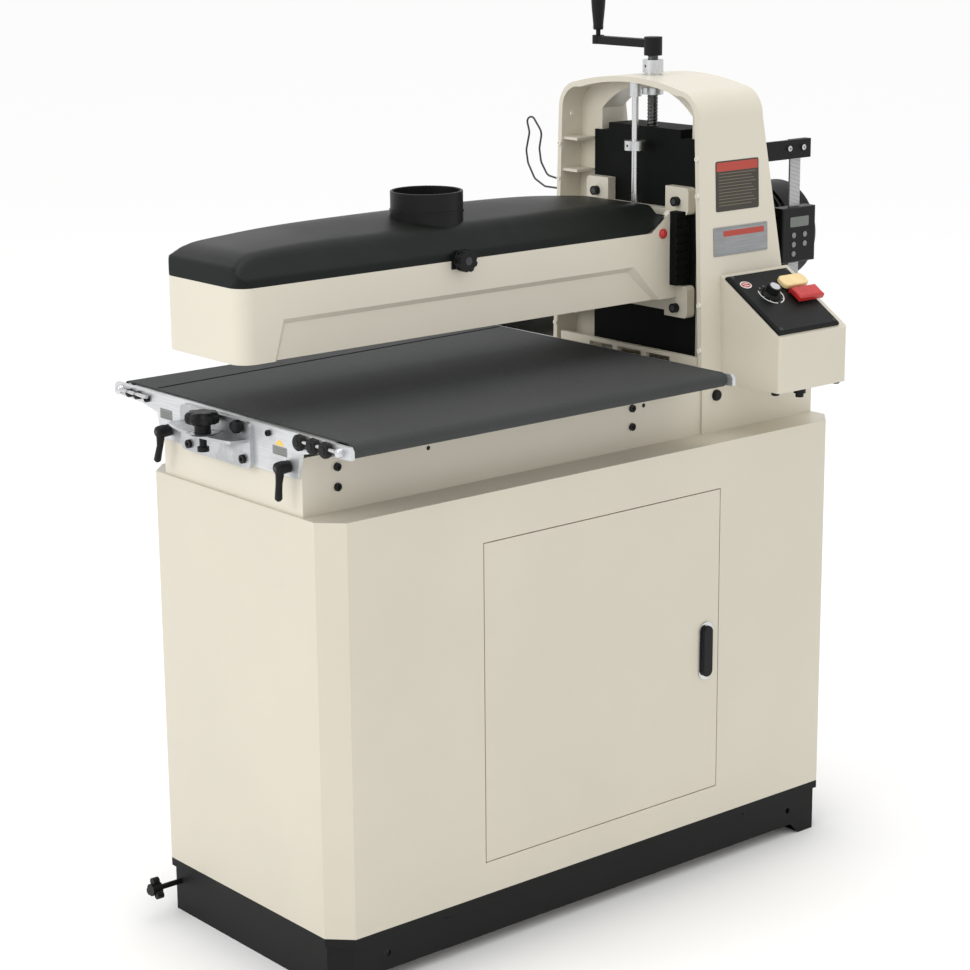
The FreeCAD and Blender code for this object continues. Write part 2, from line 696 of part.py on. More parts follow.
def cover_latch():
    grip = rod(V(latch_knob_x, arm_front - 19, latch_knob_z), AY, latch_knob_r, 14)
    scallops = []
    for k in range(8):
        a = math.radians(45 * k)
        reach = latch_knob_r + 2
        p = V(latch_knob_x + reach * math.cos(a), arm_front - 20, latch_knob_z + reach * math.sin(a))
        scallops.append(rod(p, AY, 4, 12))
    stem = rod(V(latch_knob_x, arm_front - 8, latch_knob_z), AY, journal_r, 14)
    return join(grip.cut(scallops), stem)


def drum_group():
    y = machine_y
    barrel = tube(V(drum_x0, y, drum_z), AX, drum_r, drum_r - drum_wall, drum_x1 - drum_x0)
    discs = [tube(V(x, y, drum_z), AX, drum_r - drum_wall, shaft_r, 10) for x in (drum_x0, drum_x1 - 10)]
    put("drum", join(barrel, *discs))
    put("abrasive_wrap", tube(V(drum_x0 + 2, y, drum_z), AX, drum_r + wrap, drum_r, drum_x1 - drum_x0 - 4))
    shaft = rod(V(-504, y, drum_z), AX, shaft_r, motor_left + 16 + 504)
    coupling = rod(V(214, y, drum_z), AX, 16, 34)
    put("drum_shaft", join(shaft, coupling))
    left = box(arm_left + arm_end_wall, -488, y - 30, y + 30, drum_z - 30, drum_z + 30)
    right = box(176, 200, y - 30, y + 30, drum_z - 30, drum_z + 30)
    bore = rod(V(-520, y, drum_z), AX, shaft_r + running_fit, 800)
    put("drum_bearings", Part.makeCompound([left.cut(bore), right.cut(bore)]))


def pressure_rollers():
    hangers = []
    for side, name in ((-1, "infeed_roller"), (1, "outfeed_roller")):
        y = machine_y + side * press_half
        body = rod(V(-495, y, press_z), AX, press_r, 185 + 495)
        ends = rod(V(-502, y, press_z), AX, journal_r, 196 + 502)
        put(name, join(body, ends))
        for x0, x1 in ((arm_left + arm_end_wall, -497.0), (188.0, 200.0)):
            plate_shape = box(x0, x1, y - 10, y + 10, press_z - 7.5, press_z + 20)
            hangers.append(plate_shape.cut(rod(V(x0 - 1, y, press_z), AX, journal_r + running_fit, 20)))
    put("roller_hangers", Part.makeCompound(hangers))


def motor():
    y = machine_y
    barrel = rod(V(motor_left, y, drum_z), AX, motor_barrel_r, 520 - motor_left)
    face = rod(V(motor_left, y, drum_z), AX, motor_r, 12)
    fins = [tube(V(x, y, drum_z), AX, motor_r - 1.5, motor_barrel_r, 4) for x in range(366, 512, 12)]
    capacitor = join(box(398, 482, y - 34, y + 34, drum_z + motor_barrel_r - 12, drum_z + 104))
    capacitor = capacitor.makeFillet(8, [e for e in capacitor.Edges if e.BoundBox.ZMax > drum_z + 103
                                         and e.BoundBox.ZMin > drum_z + 103])
    body = join(barrel, face, capacitor, *fins).cut(rod(V(motor_left - 1, y, drum_z), AX, shaft_r + 0.3, 20))
    put("motor", body)
    cup = rod(V(520, y, drum_z), AX, motor_r, motor_right - 520)
    cup = cup.makeFillet(9, [e for e in cup.Edges if abs(e.CenterOfMass.x - motor_right) < 0.1
                             and e.BoundBox.XLength < 0.1])
    cup = cup.cut(rod(V(519, y, drum_z), AX, motor_r - 4, 52))
    slots = []
    for ring, count in ((24, 8), (42, 14), (60, 20)):
        for k in range(count):
            a = 2 * math.pi * k / count
            slots.append(rod(V(560, y + ring * math.cos(a), drum_z + ring * math.sin(a)), AX, 5, 40))
    put("motor_fan_cover", cup.cut(slots))


def readout():
    body = box(430, 502, -138, -115, 885, 968)
    body = body.makeFillet(3, [e for e in body.Edges if abs(e.CenterOfMass.y + 138) < 0.1])
    body = body.cut(box(455 - 0.2, 477 + 0.2, -127.2, -123.8, 880, 975))
    put("readout", body)
    arm = box(444, 466, -115, machine_y - motor_barrel_r + 6, 900, 922)
    arm = join(arm, box(436, 474, -115, -111, 893, 940))
    put("readout_bracket", arm.cut(rod(V(430, machine_y, drum_z), AX, motor_r - 1.5, 60)))


def head():
    put("carriage", carriage())
    put("arm_casting", arm_casting())
    y = machine_y
    put("arm_bolts", Part.makeCompound(
        [button_screw(V(arm_right, y + s * ear_bolt_half, z), AX * -1, 7, 8, 4, flange + 12)
         for s, z in ear_bolts()]))
    drum_group()
    pressure_rollers()
    put("dust_cover", dust_cover())
    put("dust_port", dust_port())
    put("cover_latch", cover_latch())
    motor()
    readout()


# ---------------------------------------------------------------- lift
def lift():
    y = machine_y
    put("lift_screw", rod(V(screw_x, y, screw_bottom), AZ, screw_r, screw_top - 2 - screw_bottom))
    hub = rod(V(screw_x, y, 1195), AZ, 13.5, screw_top - 1195)
    end = V(screw_x, y + crank_reach, 1206)
    neck = rod(V(end.x, end.y, 1206), AZ, 9, 13)
    web = in_xy([(screw_x - 9, y), (screw_x + 9, y), (screw_x + 6.5, y + crank_reach),
                 (screw_x - 6.5, y + crank_reach)], 1206, 1218)
    pin = rod(V(end.x, end.y, 1206), AZ, 3.5, grip_top - 8 - 1206)
    crank = join(hub, neck, web, pin).cut(rod(V(screw_x, y, 1190), AZ, screw_r, screw_top - 2 - 1190))
    put("crank_arm", crank)
    low = cone(V(end.x, end.y, grip_bottom), AZ, 8, 11, grip_top - 12 - grip_bottom)
    high = cone(V(end.x, end.y, grip_top - 12), AZ, 11, 6.5, 12)
    grip = join(low, high).cut(rod(V(end.x, end.y, grip_bottom - 1), AZ, 3.55, grip_top - 5 - grip_bottom))
    put("crank_grip", grip)


# ---------------------------------------------------------------- conveyor
def rail_outline():
    y = machine_y
    top, half = belt_top - belt_thickness, roller_half + 15
    side = [(half, top), (half + 4, top - 5), (half + 4, 753), (206, 750), (168, 742), (160, 708)]
    return [(y + a, z) for a, z in side] + [(y - a, z) for a, z in reversed(side)]


def conveyor():
    y = machine_y
    axis_z = belt_top - belt_thickness - roller_inner_r
    under = belt_top - belt_thickness - 0.1
    y0, y1 = y - roller_half + 22, y + roller_half - 22
    x0, x1 = rail_left_face + rail, rail_right_face
    bed_floor = under - 2 * roller_inner_r + 0.5
    bed = box(x0, x1, y0, y1, bed_floor, under).cut(
        box(x0 + bed_sheet, x1 - bed_sheet, y0 + bed_sheet, y1 - bed_sheet, bed_floor - 1, under - bed_sheet))
    put("conveyor_bed", bed)
    left = in_yz(rail_outline(), rail_left_face, rail_left_face + rail)
    right = in_yz([(a, max(z, frame_top)) for a, z in rail_outline()], rail_right_face, rail_right_face + rail)
    slots = []
    for s in (-1, 1):
        slots.append(box(rail_left_face - 1, x0 + 1, y + s * lever_half - 4.2, y + s * lever_half + 4.2,
                         lever_z - 20, lever_z - 4))
    bores = [rod(V(x0 - 20, y + s * roller_half, axis_z), AX, 6 + running_fit, 720) for s in (-1, 1)]
    put("left_rail", left.cut(slots + bores))
    put("right_rail", right.cut(bores))
    outer = stadium_yz(y, roller_half, axis_z, roller_inner_r + belt_thickness)
    inner = stadium_yz(y, roller_half, axis_z, roller_inner_r)
    put("belt", outer.cut(inner))
    for s, name in ((-1, "idler_roller"), (1, "drive_roller")):
        centre = V(belt_left + 2, y + s * roller_half, axis_z)
        body = rod(centre, AX, roller_inner_r - roller_gap, belt_right - belt_left - 4)
        ends = rod(V(rail_left_face - 6, centre.y, axis_z), AX, 6, rail_right_face + 12 - rail_left_face)
        put(name, join(body, ends))
    blocks = []
    for s in (-1, 1):
        yr = y + s * roller_half
        for x_in, direction in ((rail_left_face, -1), (rail_right_face + rail, 1)):
            xs = sorted((x_in, x_in + direction * 11))
            blocks.append(box(xs[0], xs[1], yr - 13, yr + 13, axis_z - 12, axis_z + 8.5).cut(
                rod(V(xs[0] - 1, yr, axis_z), AX, 6 + running_fit, 13)))
            ya = yr - s * 64
            block = box(xs[0], xs[1], ya - 7, ya + 7, axis_z - 7, axis_z + 9)
            xm = (xs[0] + xs[1]) / 2
            nut = rod(V(xm, yr - s * 38, axis_z + 1), AY, 5.3, 12)
            stem_y = min(yr - s * 70, yr - s * 13)
            stem = rod(V(xm, stem_y, axis_z + 1), AY, 3, 57)
            blocks.append(join(block, nut, stem))
    put("roller_bearings", Part.makeCompound(blocks))
    xg = rail_right_face + rail + 11
    gearbox = box(xg, xg + 46, y + roller_half - 30, y + roller_half + 29, axis_z - 30, axis_z + 20)
    barrel = rod(V(xg + 46, y + roller_half, axis_z - 4), AX, 25, 84)
    put("gearmotor", join(gearbox, barrel).cut(rod(V(xg - 1, y + roller_half, axis_z), AX, 6.3, 8)))


def stadium_yz(y, half, z, r):
    body = box(belt_left, belt_right, y - half, y + half, z - r, z + r)
    return join(body, rod(V(belt_left, y - half, z), AX, r, belt_right - belt_left),
                rod(V(belt_left, y + half, z), AX, r, belt_right - belt_left))


def clamp_levers():
    face = rail_left_face
    for s, name, lean in ((1, "rear_clamp_lever", 8.0), (-1, "front_clamp_lever", 2.0)):
        y, z = machine_y + s * lever_half, lever_z
        tip = (y + lean, z - 41)
        hub = rod(V(face - 13, y, z - 12), AX, 9, 12.8)
        tip = (tip[0], tip[1] - 12)
        arm = in_yz([(y - 7, z - 14), (tip[0] - 5, tip[1]), ((tip[0], tip[1] - 5), (tip[0] + 5, tip[1])),
                     (y + 7, z - 14)], face - 22, face - 12)
        cap = rod(V(face - 22, y, z - 12), AX, 7.5, 9.5)
        stud = rod(V(face - 2, y, z - 12), AX, journal_r, rail + frame_wall + 8)
        put(name, join(hub, arm, cap, stud))


def index_bracket():
    face = rail_left_face
    y0, y1 = -59.0, 106.0
    upright = box(face - rail, face, y0, y1, 704, 767)
    upright = upright.makeFillet(9, [e for e in upright.Edges if e.Length < rail + 0.1])
    shelf_plan = in_xy([(face - rail + 1, y0 + 4), (face - rail + 1, y1 - 2), (face - shelf_reach + 14, y1 - 2),
                        ((face - shelf_reach, 24), (face - shelf_reach + 10, y0 + 10))], shelf_z, shelf_z + 4)
    body = join(upright, shelf_plan)
    cuts = [rod(V(dial_x, dial_y, shelf_z - 5), AZ, 5 + running_fit, 20),
            rod(V(face - rail - 1, lock_y, lock_z), AX, journal_r + running_fit, rail + 3)]
    for y, z in ((-43.0, 716.0), (85.0, 714.0)):
        cuts.append(rod(V(face - rail - 1, y, z), AX, 3, 5.01))
    return body.cut(cuts)


def lobed_knob(p, axis, r, height, lobes, across):
    """A knob with round lobes; across is any direction square to the axis."""
    body = rod(p, axis, r * 0.86, height)
    other = axis.cross(across)
    bumps = []
    for k in range(lobes):
        a = 2 * math.pi * k / lobes
        c = p + across * (r * 0.74 * math.cos(a)) + other * (r * 0.74 * math.sin(a))
        bumps.append(rod(c, axis, r * 0.26, height))
    return join(body, *bumps)


def bed_controls():
    clamp_levers()
    put("index_bracket", index_bracket())
    knob = lobed_knob(V(dial_x, dial_y, 757), AZ, dial_r, 17, 7, AX)
    collar = rod(V(dial_x, dial_y, shelf_z + 4.3), AZ, 11, 13)
    stem = rod(V(dial_x, dial_y, 724), AZ, 5, 34)
    foot = rod(V(dial_x, dial_y, 720), AZ, 8, 6)
    put("dial_knob", join(knob, collar, stem, foot))
    face = rail_left_face - rail
    small = lobed_knob(V(face - 13, lock_y, lock_z), AX, 11, 12, 3, AY)
    put("lock_knob", join(small, rod(V(face - 2, lock_y, lock_z), AX, journal_r, rail + 1)))


# ---------------------------------------------------------------- control box
def slope_angle():
    return math.atan2(box_rear_top - box_front_top, box_rear - box_front)


def on_slope(shape):
    """Puts a shape drawn flat (X across, Y up the slope, Z out of it) onto the box's sloping top."""
    shape.rotate(V(0, 0, 0), AX, math.degrees(slope_angle()))
    shape.translate(V(0, box_front, box_front_top))
    return shape


def control_group():
    deep = machine_y - column_half_shoulder + 6
    rise = math.tan(slope_angle())
    profile = [(box_front, box_bottom), (box_front, box_front_top),
               (deep, box_front_top + (deep - box_front) * rise), (deep, box_bottom)]
    shell = in_yz(profile, box_left, box_right)
    shell = shell.makeFillet(5, [e for e in shell.Edges if e.BoundBox.ZLength > 40
                                 and abs(e.CenterOfMass.y - box_front) < 1])
    inner = in_yz([(box_front + box_wall, box_bottom + box_wall), (box_front + box_wall, box_front_top - 4),
                   (box_rear - 12, box_rear_top - 12), (box_rear - 12, box_bottom + box_wall)],
                  box_left + box_wall, box_right - box_wall)
    base_block = box(base_left - 10, frame_right, machine_y - frame_half_depth - base_proud, 0, 600, frame_top)
    arch = in_yz(column_outline(0), base_left - 10, frame_right)
    put("control_box", shell.cut([inner, base_block, arch, rod(V(341, -262, box_bottom - 1), AZ, 6, 6)]))
    panel = Part.makeBox(126, 129, 7, V(box_left + 1.5, 6, 0))
    panel = panel.makeChamfer(3, [e for e in panel.Edges if e.BoundBox.ZMin > 6.9])
    cuts = [Part.makeCylinder(journal_r + running_fit, 9, V(speed_x, speed_v, -1)),
            Part.makeBox(44, 22, 9, V(paddle_x - 22, paddle_v - 13, 3))]
    put("control_panel", on_slope(panel.cut(cuts)))
    skirt = Part.makeCone(15, 12.5, 5, V(speed_x, speed_v, 7.3))
    cap = Part.makeCylinder(10.5, 10, V(speed_x, speed_v, 12))
    mark = Part.makeBox(1.6, 10, 1.2, V(speed_x - 0.8, speed_v + 1, 21.2))
    stem = Part.makeCylinder(journal_r, 8, V(speed_x, speed_v, 0.5))
    put("speed_knob", on_slope(join(skirt, cap, stem).cut(mark)))
    lid = Part.makeBox(50, 24, 9, V(paddle_x - 22, paddle_v - 20, 10.5))
    lid = lid.makeFillet(4, [e for e in lid.Edges if e.BoundBox.ZMin > 19])
    hinge = Part.makeCylinder(3, 40, V(paddle_x - 20, paddle_v + 4.5, 10), AX)
    link = Part.makeBox(40, 5, 4, V(paddle_x - 20, paddle_v + 1, 9.5))
    put("stop_paddle", on_slope(join(lid, hinge, link)))
    gland = join(rod(V(341, -262, box_bottom - 14), AZ, 6, 18), rod(V(341, -262, box_bottom - 8), AZ, 9, 8))
    put("cable_gland", gland)


# ---------------------------------------------------------------- assembly
def build():
    stand()
    put("bed_frame", bed_frame())
    put("column_base", column_base())
    put("frame_screws", frame_screws())
    put("column", column())
    column_hardware()
    scale()
    put("hose_hook", hose_hook())
    head()
    lift()
    conveyor()
    bed_controls()
    control_group()


build()
os.makedirs("parts", exist_ok=True)
for name, shape in out.items():
    shape.exportStep(f"parts/{name}.step")
    print(f"{name:18s} solids {len(shape.Solids)}  volume {shape.Volume / 1000:10.1f} cm3  valid {shape.isValid()}")
print(len(out), "nodes")
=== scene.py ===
"""Looks of an open-ended drum sander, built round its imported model.

Everything is in metres in the machine's own frame: +X along the drum towards the motor,
+Y towards the outfeed side, +Z up, with the floor at Z 0.
"""

import logging
import math
from dataclasses import dataclass, field
from enum import Enum
from typing import Callable, Iterable, Sequence

import bmesh
import bpy
from mathutils import Matrix, Vector

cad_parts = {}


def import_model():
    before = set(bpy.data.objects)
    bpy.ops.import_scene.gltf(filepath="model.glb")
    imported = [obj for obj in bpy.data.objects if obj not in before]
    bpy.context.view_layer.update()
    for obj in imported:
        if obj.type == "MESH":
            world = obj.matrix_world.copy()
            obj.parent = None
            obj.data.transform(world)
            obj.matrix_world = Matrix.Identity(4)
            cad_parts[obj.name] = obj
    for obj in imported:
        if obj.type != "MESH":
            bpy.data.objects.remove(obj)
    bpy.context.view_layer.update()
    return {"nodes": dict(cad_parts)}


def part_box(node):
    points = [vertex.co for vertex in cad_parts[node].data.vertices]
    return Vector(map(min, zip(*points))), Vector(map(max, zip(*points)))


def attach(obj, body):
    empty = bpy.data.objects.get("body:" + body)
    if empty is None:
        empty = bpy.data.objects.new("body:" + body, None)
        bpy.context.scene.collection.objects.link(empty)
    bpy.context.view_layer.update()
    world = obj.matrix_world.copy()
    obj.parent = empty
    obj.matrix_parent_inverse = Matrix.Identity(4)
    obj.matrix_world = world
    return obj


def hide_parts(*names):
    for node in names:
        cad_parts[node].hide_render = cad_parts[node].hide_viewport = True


LOG = logging.getLogger("sander")
MM = 0.001
PRINT = 0.0001
LABEL = 0.0002
Colour = tuple[float, float, float]
Point2 = tuple[float, float]
Line = tuple[float, float, float]
BMesh = bmesh.types.BMesh
Filler = Callable[[BMesh], None]
Node = bpy.types.Node
Object = bpy.types.Object
Socket = bpy.types.NodeSocket
Tree = bpy.types.NodeTree


# ---------------------------------------------------------------- node wiring
class Wiring:
    """Small helper that adds and links nodes in one node tree."""

    def __init__(self, tree: Tree) -> None:
        """Remembers the tree.

        Args:
            tree: the node tree to add nodes to.
        """
        self.tree = tree
        self.column = 0

    def add(self, kind: str, **settings: object) -> Node:
        """Adds a node.

        Args:
            kind: the node's type name.
            settings: properties to set on it.

        Returns:
            The new node.
        """
        node = self.tree.nodes.new(kind)
        self.column += 1
        node.location = (180 * self.column, 0)
        for key, value in settings.items():
            setattr(node, key, value)
        return node

    def link(self, source: Socket, target: Socket) -> None:
        """Joins an output to an input."""
        self.tree.links.new(source, target)

    def feed(self, socket: Socket, value: object) -> None:
        """Links value to the socket if it is a socket, and otherwise sets it as a constant.

        Args:
            socket: the input to fill.
            value: another node's output, or a constant.
        """
        if isinstance(value, Socket):
            self.link(value, socket)
        else:
            socket.default_value = value

    def math(self, operation: str, a: object, b: object = 0.0, clamp: bool = False) -> Socket:
        """Adds a Math node.

        Args:
            operation: the node's operation.
            a: first value or socket.
            b: second value or socket.
            clamp: whether the result is kept between 0 and 1.

        Returns:
            The node's output.
        """
        node = self.add("ShaderNodeMath", operation=operation, use_clamp=clamp)
        self.feed(node.inputs[0], a)
        self.feed(node.inputs[1], b)
        return node.outputs[0]

    def span(self, value: object, low: float, high: float, to_low: float = 0.0,
             to_high: float = 1.0) -> Socket:
        """Maps a value from one range to another with a smooth step.

        Args:
            value: the socket to map.
            low: where the input range starts.
            high: where it ends.
            to_low: result at low.
            to_high: result at high.

        Returns:
            The node's output.
        """
        node = self.add("ShaderNodeMapRange", interpolation_type="SMOOTHSTEP")
        self.feed(node.inputs["Value"], value)
        for name, number in (("From Min", low), ("From Max", high), ("To Min", to_low), ("To Max", to_high)):
            node.inputs[name].default_value = number
        return node.outputs["Result"]

    def mix(self, factor: object, a: object, b: object, blend: str = "MIX") -> Socket:
        """Mixes two colours.

        Args:
            factor: share of the second colour.
            a: first colour or socket.
            b: second colour or socket.
            blend: blend mode.

        Returns:
            The mixed colour.
        """
        node = self.add("ShaderNodeMix", data_type="RGBA", blend_type=blend)
        self.feed(node.inputs[0], factor)
        self.feed(node.inputs[6], rgba(a))
        self.feed(node.inputs[7], rgba(b))
        return node.outputs[2]

    def noise(self, vector: Socket, scale: object, detail: float = 3.0,
              rough: float = 0.55) -> Socket:
        """Adds a noise texture.

        Args:
            vector: the coordinate to read.
            scale: its fineness.
            detail: octaves.
            rough: how strong the fine octaves are.

        Returns:
            The noise, from 0 to 1.
        """
        node = self.add("ShaderNodeTexNoise")
        self.link(vector, node.inputs["Vector"])
        self.feed(node.inputs["Scale"], scale)
        node.inputs["Detail"].default_value = detail
        node.inputs["Roughness"].default_value = rough
        return node.outputs["Fac"]

    def stretched(self, vector: Socket, scale: Sequence[float]) -> Socket:
        """Scales a coordinate along its axes.

        Args:
            vector: the coordinate.
            scale: one factor for each axis.

        Returns:
            The scaled coordinate.
        """
        node = self.add("ShaderNodeMapping")
        self.link(vector, node.inputs["Vector"])
        node.inputs["Scale"].default_value = scale
        return node.outputs["Vector"]


def rgba(value: object) -> object:
    """Gives a colour its alpha, and leaves a socket as it is."""
    return value if isinstance(value, Socket) else (*value[:3], 1.0)


# ---------------------------------------------------------------- shared effects
class Effect(Enum):
    """The shader node groups that several finishes share."""

    GRAIN = "surface grain"
    WEAR = "edge wear"
    DUST = "settled dust"
    BRUSHED = "brushed lines"
    WEAVE = "cloth weave"


class Effects:
    """Builds each shared node group once and hands it out."""

    _made: dict[Effect, Tree] = {}

    @classmethod
    def get(cls, effect: Effect) -> Tree:
        """Returns the effect's node group, building it the first time.

        Args:
            effect: which effect.

        Returns:
            The node group.
        """
        if effect not in cls._made:
            makers = {Effect.GRAIN: cls._grain, Effect.WEAR: cls._wear, Effect.DUST: cls._dust,
                      Effect.BRUSHED: cls._brushed, Effect.WEAVE: cls._weave}
            cls._made[effect] = makers[effect]()
        return cls._made[effect]

    @staticmethod
    def _start(effect: Effect, inputs: dict[str, float],
               outputs: Iterable[str]) -> tuple[Wiring, Node, Node]:
        """Opens a new group with float inputs and outputs.

        Args:
            effect: names the group.
            inputs: input names with their usual values.
            outputs: output names.

        Returns:
            The wiring, the group's input node and its output node.
        """
        tree = bpy.data.node_groups.new(effect.value, "ShaderNodeTree")
        for name, value in inputs.items():
            socket = tree.interface.new_socket(name, in_out="INPUT", socket_type="NodeSocketFloat")
            socket.default_value = value
        for name in outputs:
            tree.interface.new_socket(name, in_out="OUTPUT", socket_type="NodeSocketFloat")
        wiring = Wiring(tree)
        return wiring, wiring.add("NodeGroupInput"), wiring.add("NodeGroupOutput")

    @classmethod
    def _grain(cls) -> Tree:
        """Fine peel of a sprayed or moulded skin: a height and a slow colour drift.

        Returns:
            The node group.
        """
        w, given, result = cls._start(Effect.GRAIN, {"Scale": 900.0, "Drift Scale": 4.0}, ("Height", "Drift"))
        place = w.add("ShaderNodeTexCoord").outputs["Object"]
        fine = w.noise(place, given.outputs["Scale"], 2.0)
        coarse = w.noise(place, w.math("MULTIPLY", given.outputs["Scale"], 0.23), 2.0)
        w.link(w.math("ADD", w.math("MULTIPLY", fine, 0.6), w.math("MULTIPLY", coarse, 0.4)),
               result.inputs["Height"])
        w.link(w.noise(place, given.outputs["Drift Scale"], 4.0), result.inputs["Drift"])
        return w.tree

    @classmethod
    def _wear(cls) -> Tree:
        """Mask of rubbed outer edges, broken up by noise.

        Returns:
            The node group.
        """
        w, given, result = cls._start(Effect.WEAR, {"Radius": 0.0015, "Amount": 0.5}, ("Mask",))
        rounded = w.add("ShaderNodeBevel", samples=4)
        w.link(given.outputs["Radius"], rounded.inputs["Radius"])
        flat = w.add("ShaderNodeNewGeometry")
        dot = w.add("ShaderNodeVectorMath", operation="DOT_PRODUCT")
        w.link(rounded.outputs["Normal"], dot.inputs[0])
        w.link(flat.outputs["Normal"], dot.inputs[1])
        edge = w.span(w.math("SUBTRACT", 1.0, dot.outputs["Value"]), 0.02, 0.22)
        place = w.add("ShaderNodeTexCoord").outputs["Object"]
        broken = w.span(w.noise(place, 55.0, 5.0, 0.7), 0.42, 0.68)
        w.link(w.math("MULTIPLY", w.math("MULTIPLY", edge, broken), given.outputs["Amount"], True),
               result.inputs["Mask"])
        return w.tree

    @classmethod
    def _dust(cls) -> Tree:
        """Mask of fine dust that lies on upward faces.

        Returns:
            The node group.
        """
        w, given, result = cls._start(Effect.DUST, {"Amount": 0.3, "Scale": 18.0}, ("Mask",))
        parts = w.add("ShaderNodeSeparateXYZ")
        w.link(w.add("ShaderNodeNewGeometry").outputs["Normal"], parts.inputs["Vector"])
        up = w.span(parts.outputs["Z"], 0.55, 1.0)
        place = w.add("ShaderNodeTexCoord").outputs["Object"]
        patches = w.span(w.noise(place, given.outputs["Scale"], 6.0, 0.68), 0.35, 0.75)
        w.link(w.math("MULTIPLY", w.math("MULTIPLY", up, patches), given.outputs["Amount"], True),
               result.inputs["Mask"])
        return w.tree

    @classmethod
    def _brushed(cls) -> Tree:
        """Long fine lines left by grinding, drawn out by the three stretches.

        Returns:
            The node group.
        """
        w, given, result = cls._start(
            Effect.BRUSHED, {"Along X": 20.0, "Along Y": 2500.0, "Along Z": 2500.0}, ("Height", "Shade"))
        gather = w.add("ShaderNodeCombineXYZ")
        for axis in "XYZ":
            w.link(given.outputs[f"Along {axis}"], gather.inputs[axis])
        scaled = w.add("ShaderNodeVectorMath", operation="MULTIPLY")
        w.link(w.add("ShaderNodeTexCoord").outputs["Object"], scaled.inputs[0])
        w.link(gather.outputs[0], scaled.inputs[1])
        lines = w.noise(scaled.outputs[0], 1.0, 3.0, 0.6)
        w.link(lines, result.inputs["Height"])
        w.link(w.span(lines, 0.3, 0.7), result.inputs["Shade"])
        return w.tree

    @classmethod
    def _weave(cls) -> Tree:
        """Crossed threads of a woven backing with hard grit lying over them.

        Returns:
            The node group.
        """
        w, given, result = cls._start(
            Effect.WEAVE, {"Thread": 1400.0, "Grit": 2200.0}, ("Height", "Shade"))
        place = w.add("ShaderNodeTexCoord").outputs["Object"]
        parts = w.add("ShaderNodeSeparateXYZ")
        w.link(place, parts.inputs["Vector"])
        waves = []
        for axis in "XY":
            waves.append(w.math("SINE", w.math("MULTIPLY", parts.outputs[axis], given.outputs["Thread"])))
        threads = w.math("MULTIPLY", waves[0], waves[1])
        grit = w.noise(place, given.outputs["Grit"], 2.0, 0.7)
        patch = w.noise(place, 3.0, 3.0, 0.5)
        w.link(w.math("ADD", w.math("MULTIPLY", threads, 0.25), grit), result.inputs["Height"])
        speck = w.math("MULTIPLY", w.span(grit, 0.35, 0.72), 0.6)
        w.link(w.math("ADD", speck, w.math("MULTIPLY", patch, 0.3)), result.inputs["Shade"])
        return w.tree


# ---------------------------------------------------------------- finishes
@dataclass(frozen=True)
class Finish:
    """A finish: its name, colour and gloss. Its kinds add what their surface shows."""

    name: str
    colour: Colour
    roughness: float = 0.5
    specular: float = 0.5

    def material(self) -> bpy.types.Material:
        """Gives the finish's material, built the first time it is asked for.

        Returns:
            The material.
        """
        made = bpy.data.materials.get(self.name)
        if made is not None:
            return made
        made = bpy.data.materials.new(self.name)
        made.use_nodes = True
        made.diffuse_color = (*self.colour, 1.0)
        wiring = Wiring(made.node_tree)
        shader = made.node_tree.nodes["Principled BSDF"]
        shader.inputs["Roughness"].default_value = self.roughness
        shader.inputs["Base Color"].default_value = (*self.colour, 1.0)
        shader.inputs["Specular IOR Level"].default_value = self.specular
        self.dress(wiring, shader)
        return made

    def dress(self, w: Wiring, shader: Node) -> None:
        """Wires the surface's own detail into the shader. The plain finish only drifts in tone.

        Args:
            w: the material's wiring.
            shader: its Principled node.
        """
        grain = effect_node(w, Effect.GRAIN, {"Scale": 700.0})
        tone(w, shader, grain.outputs["Drift"], self.colour, 0.06)
        bump(w, shader, grain.outputs["Height"], 0.05, 0.0002)


def effect_node(w: Wiring, effect: Effect, values: dict[str, float]) -> Node:
    """Places a shared effect in a material.

    Args:
        w: the material's wiring.
        effect: which effect.
        values: the group's inputs to set.

    Returns:
        The group node.
    """
    node = w.add("ShaderNodeGroup")
    node.node_tree = Effects.get(effect)
    for name, value in values.items():
        node.inputs[name].default_value = value
    return node


def shaded(colour: Colour, gain: float) -> Colour:
    """A colour made lighter or darker by a gain."""
    return tuple(min(1.0, c * gain) for c in colour)


def tone(w: Wiring, shader: Node, mask: Socket, colour: Colour,
         spread: float) -> Socket:
    """Varies a colour between a little darker and a little lighter by a mask.

    Args:
        w: the material's wiring.
        shader: its Principled node.
        mask: drives the change.
        colour: the middle colour.
        spread: share by which it is darker and lighter.

    Returns:
        The varied colour, which already feeds Base Color.
    """
    mixed = w.mix(w.span(mask, 0.3, 0.7), shaded(colour, 1 - spread), shaded(colour, 1 + spread))
    w.link(mixed, shader.inputs["Base Color"])
    return mixed


def bump(w: Wiring, shader: Node, height: Socket, strength: float,
         distance: float) -> None:
    """Feeds a height to the shader's normal through a Bump node.

    Args:
        w: the material's wiring.
        shader: its Principled node.
        height: the height, from 0 to 1.
        strength: how far it shows, from 0 to 1.
        distance: depth of a full height, in metres.
    """
    node = w.add("ShaderNodeBump")
    node.inputs["Strength"].default_value = strength
    node.inputs["Distance"].default_value = distance
    w.link(height, node.inputs["Height"])
    w.link(node.outputs["Normal"], shader.inputs["Normal"])


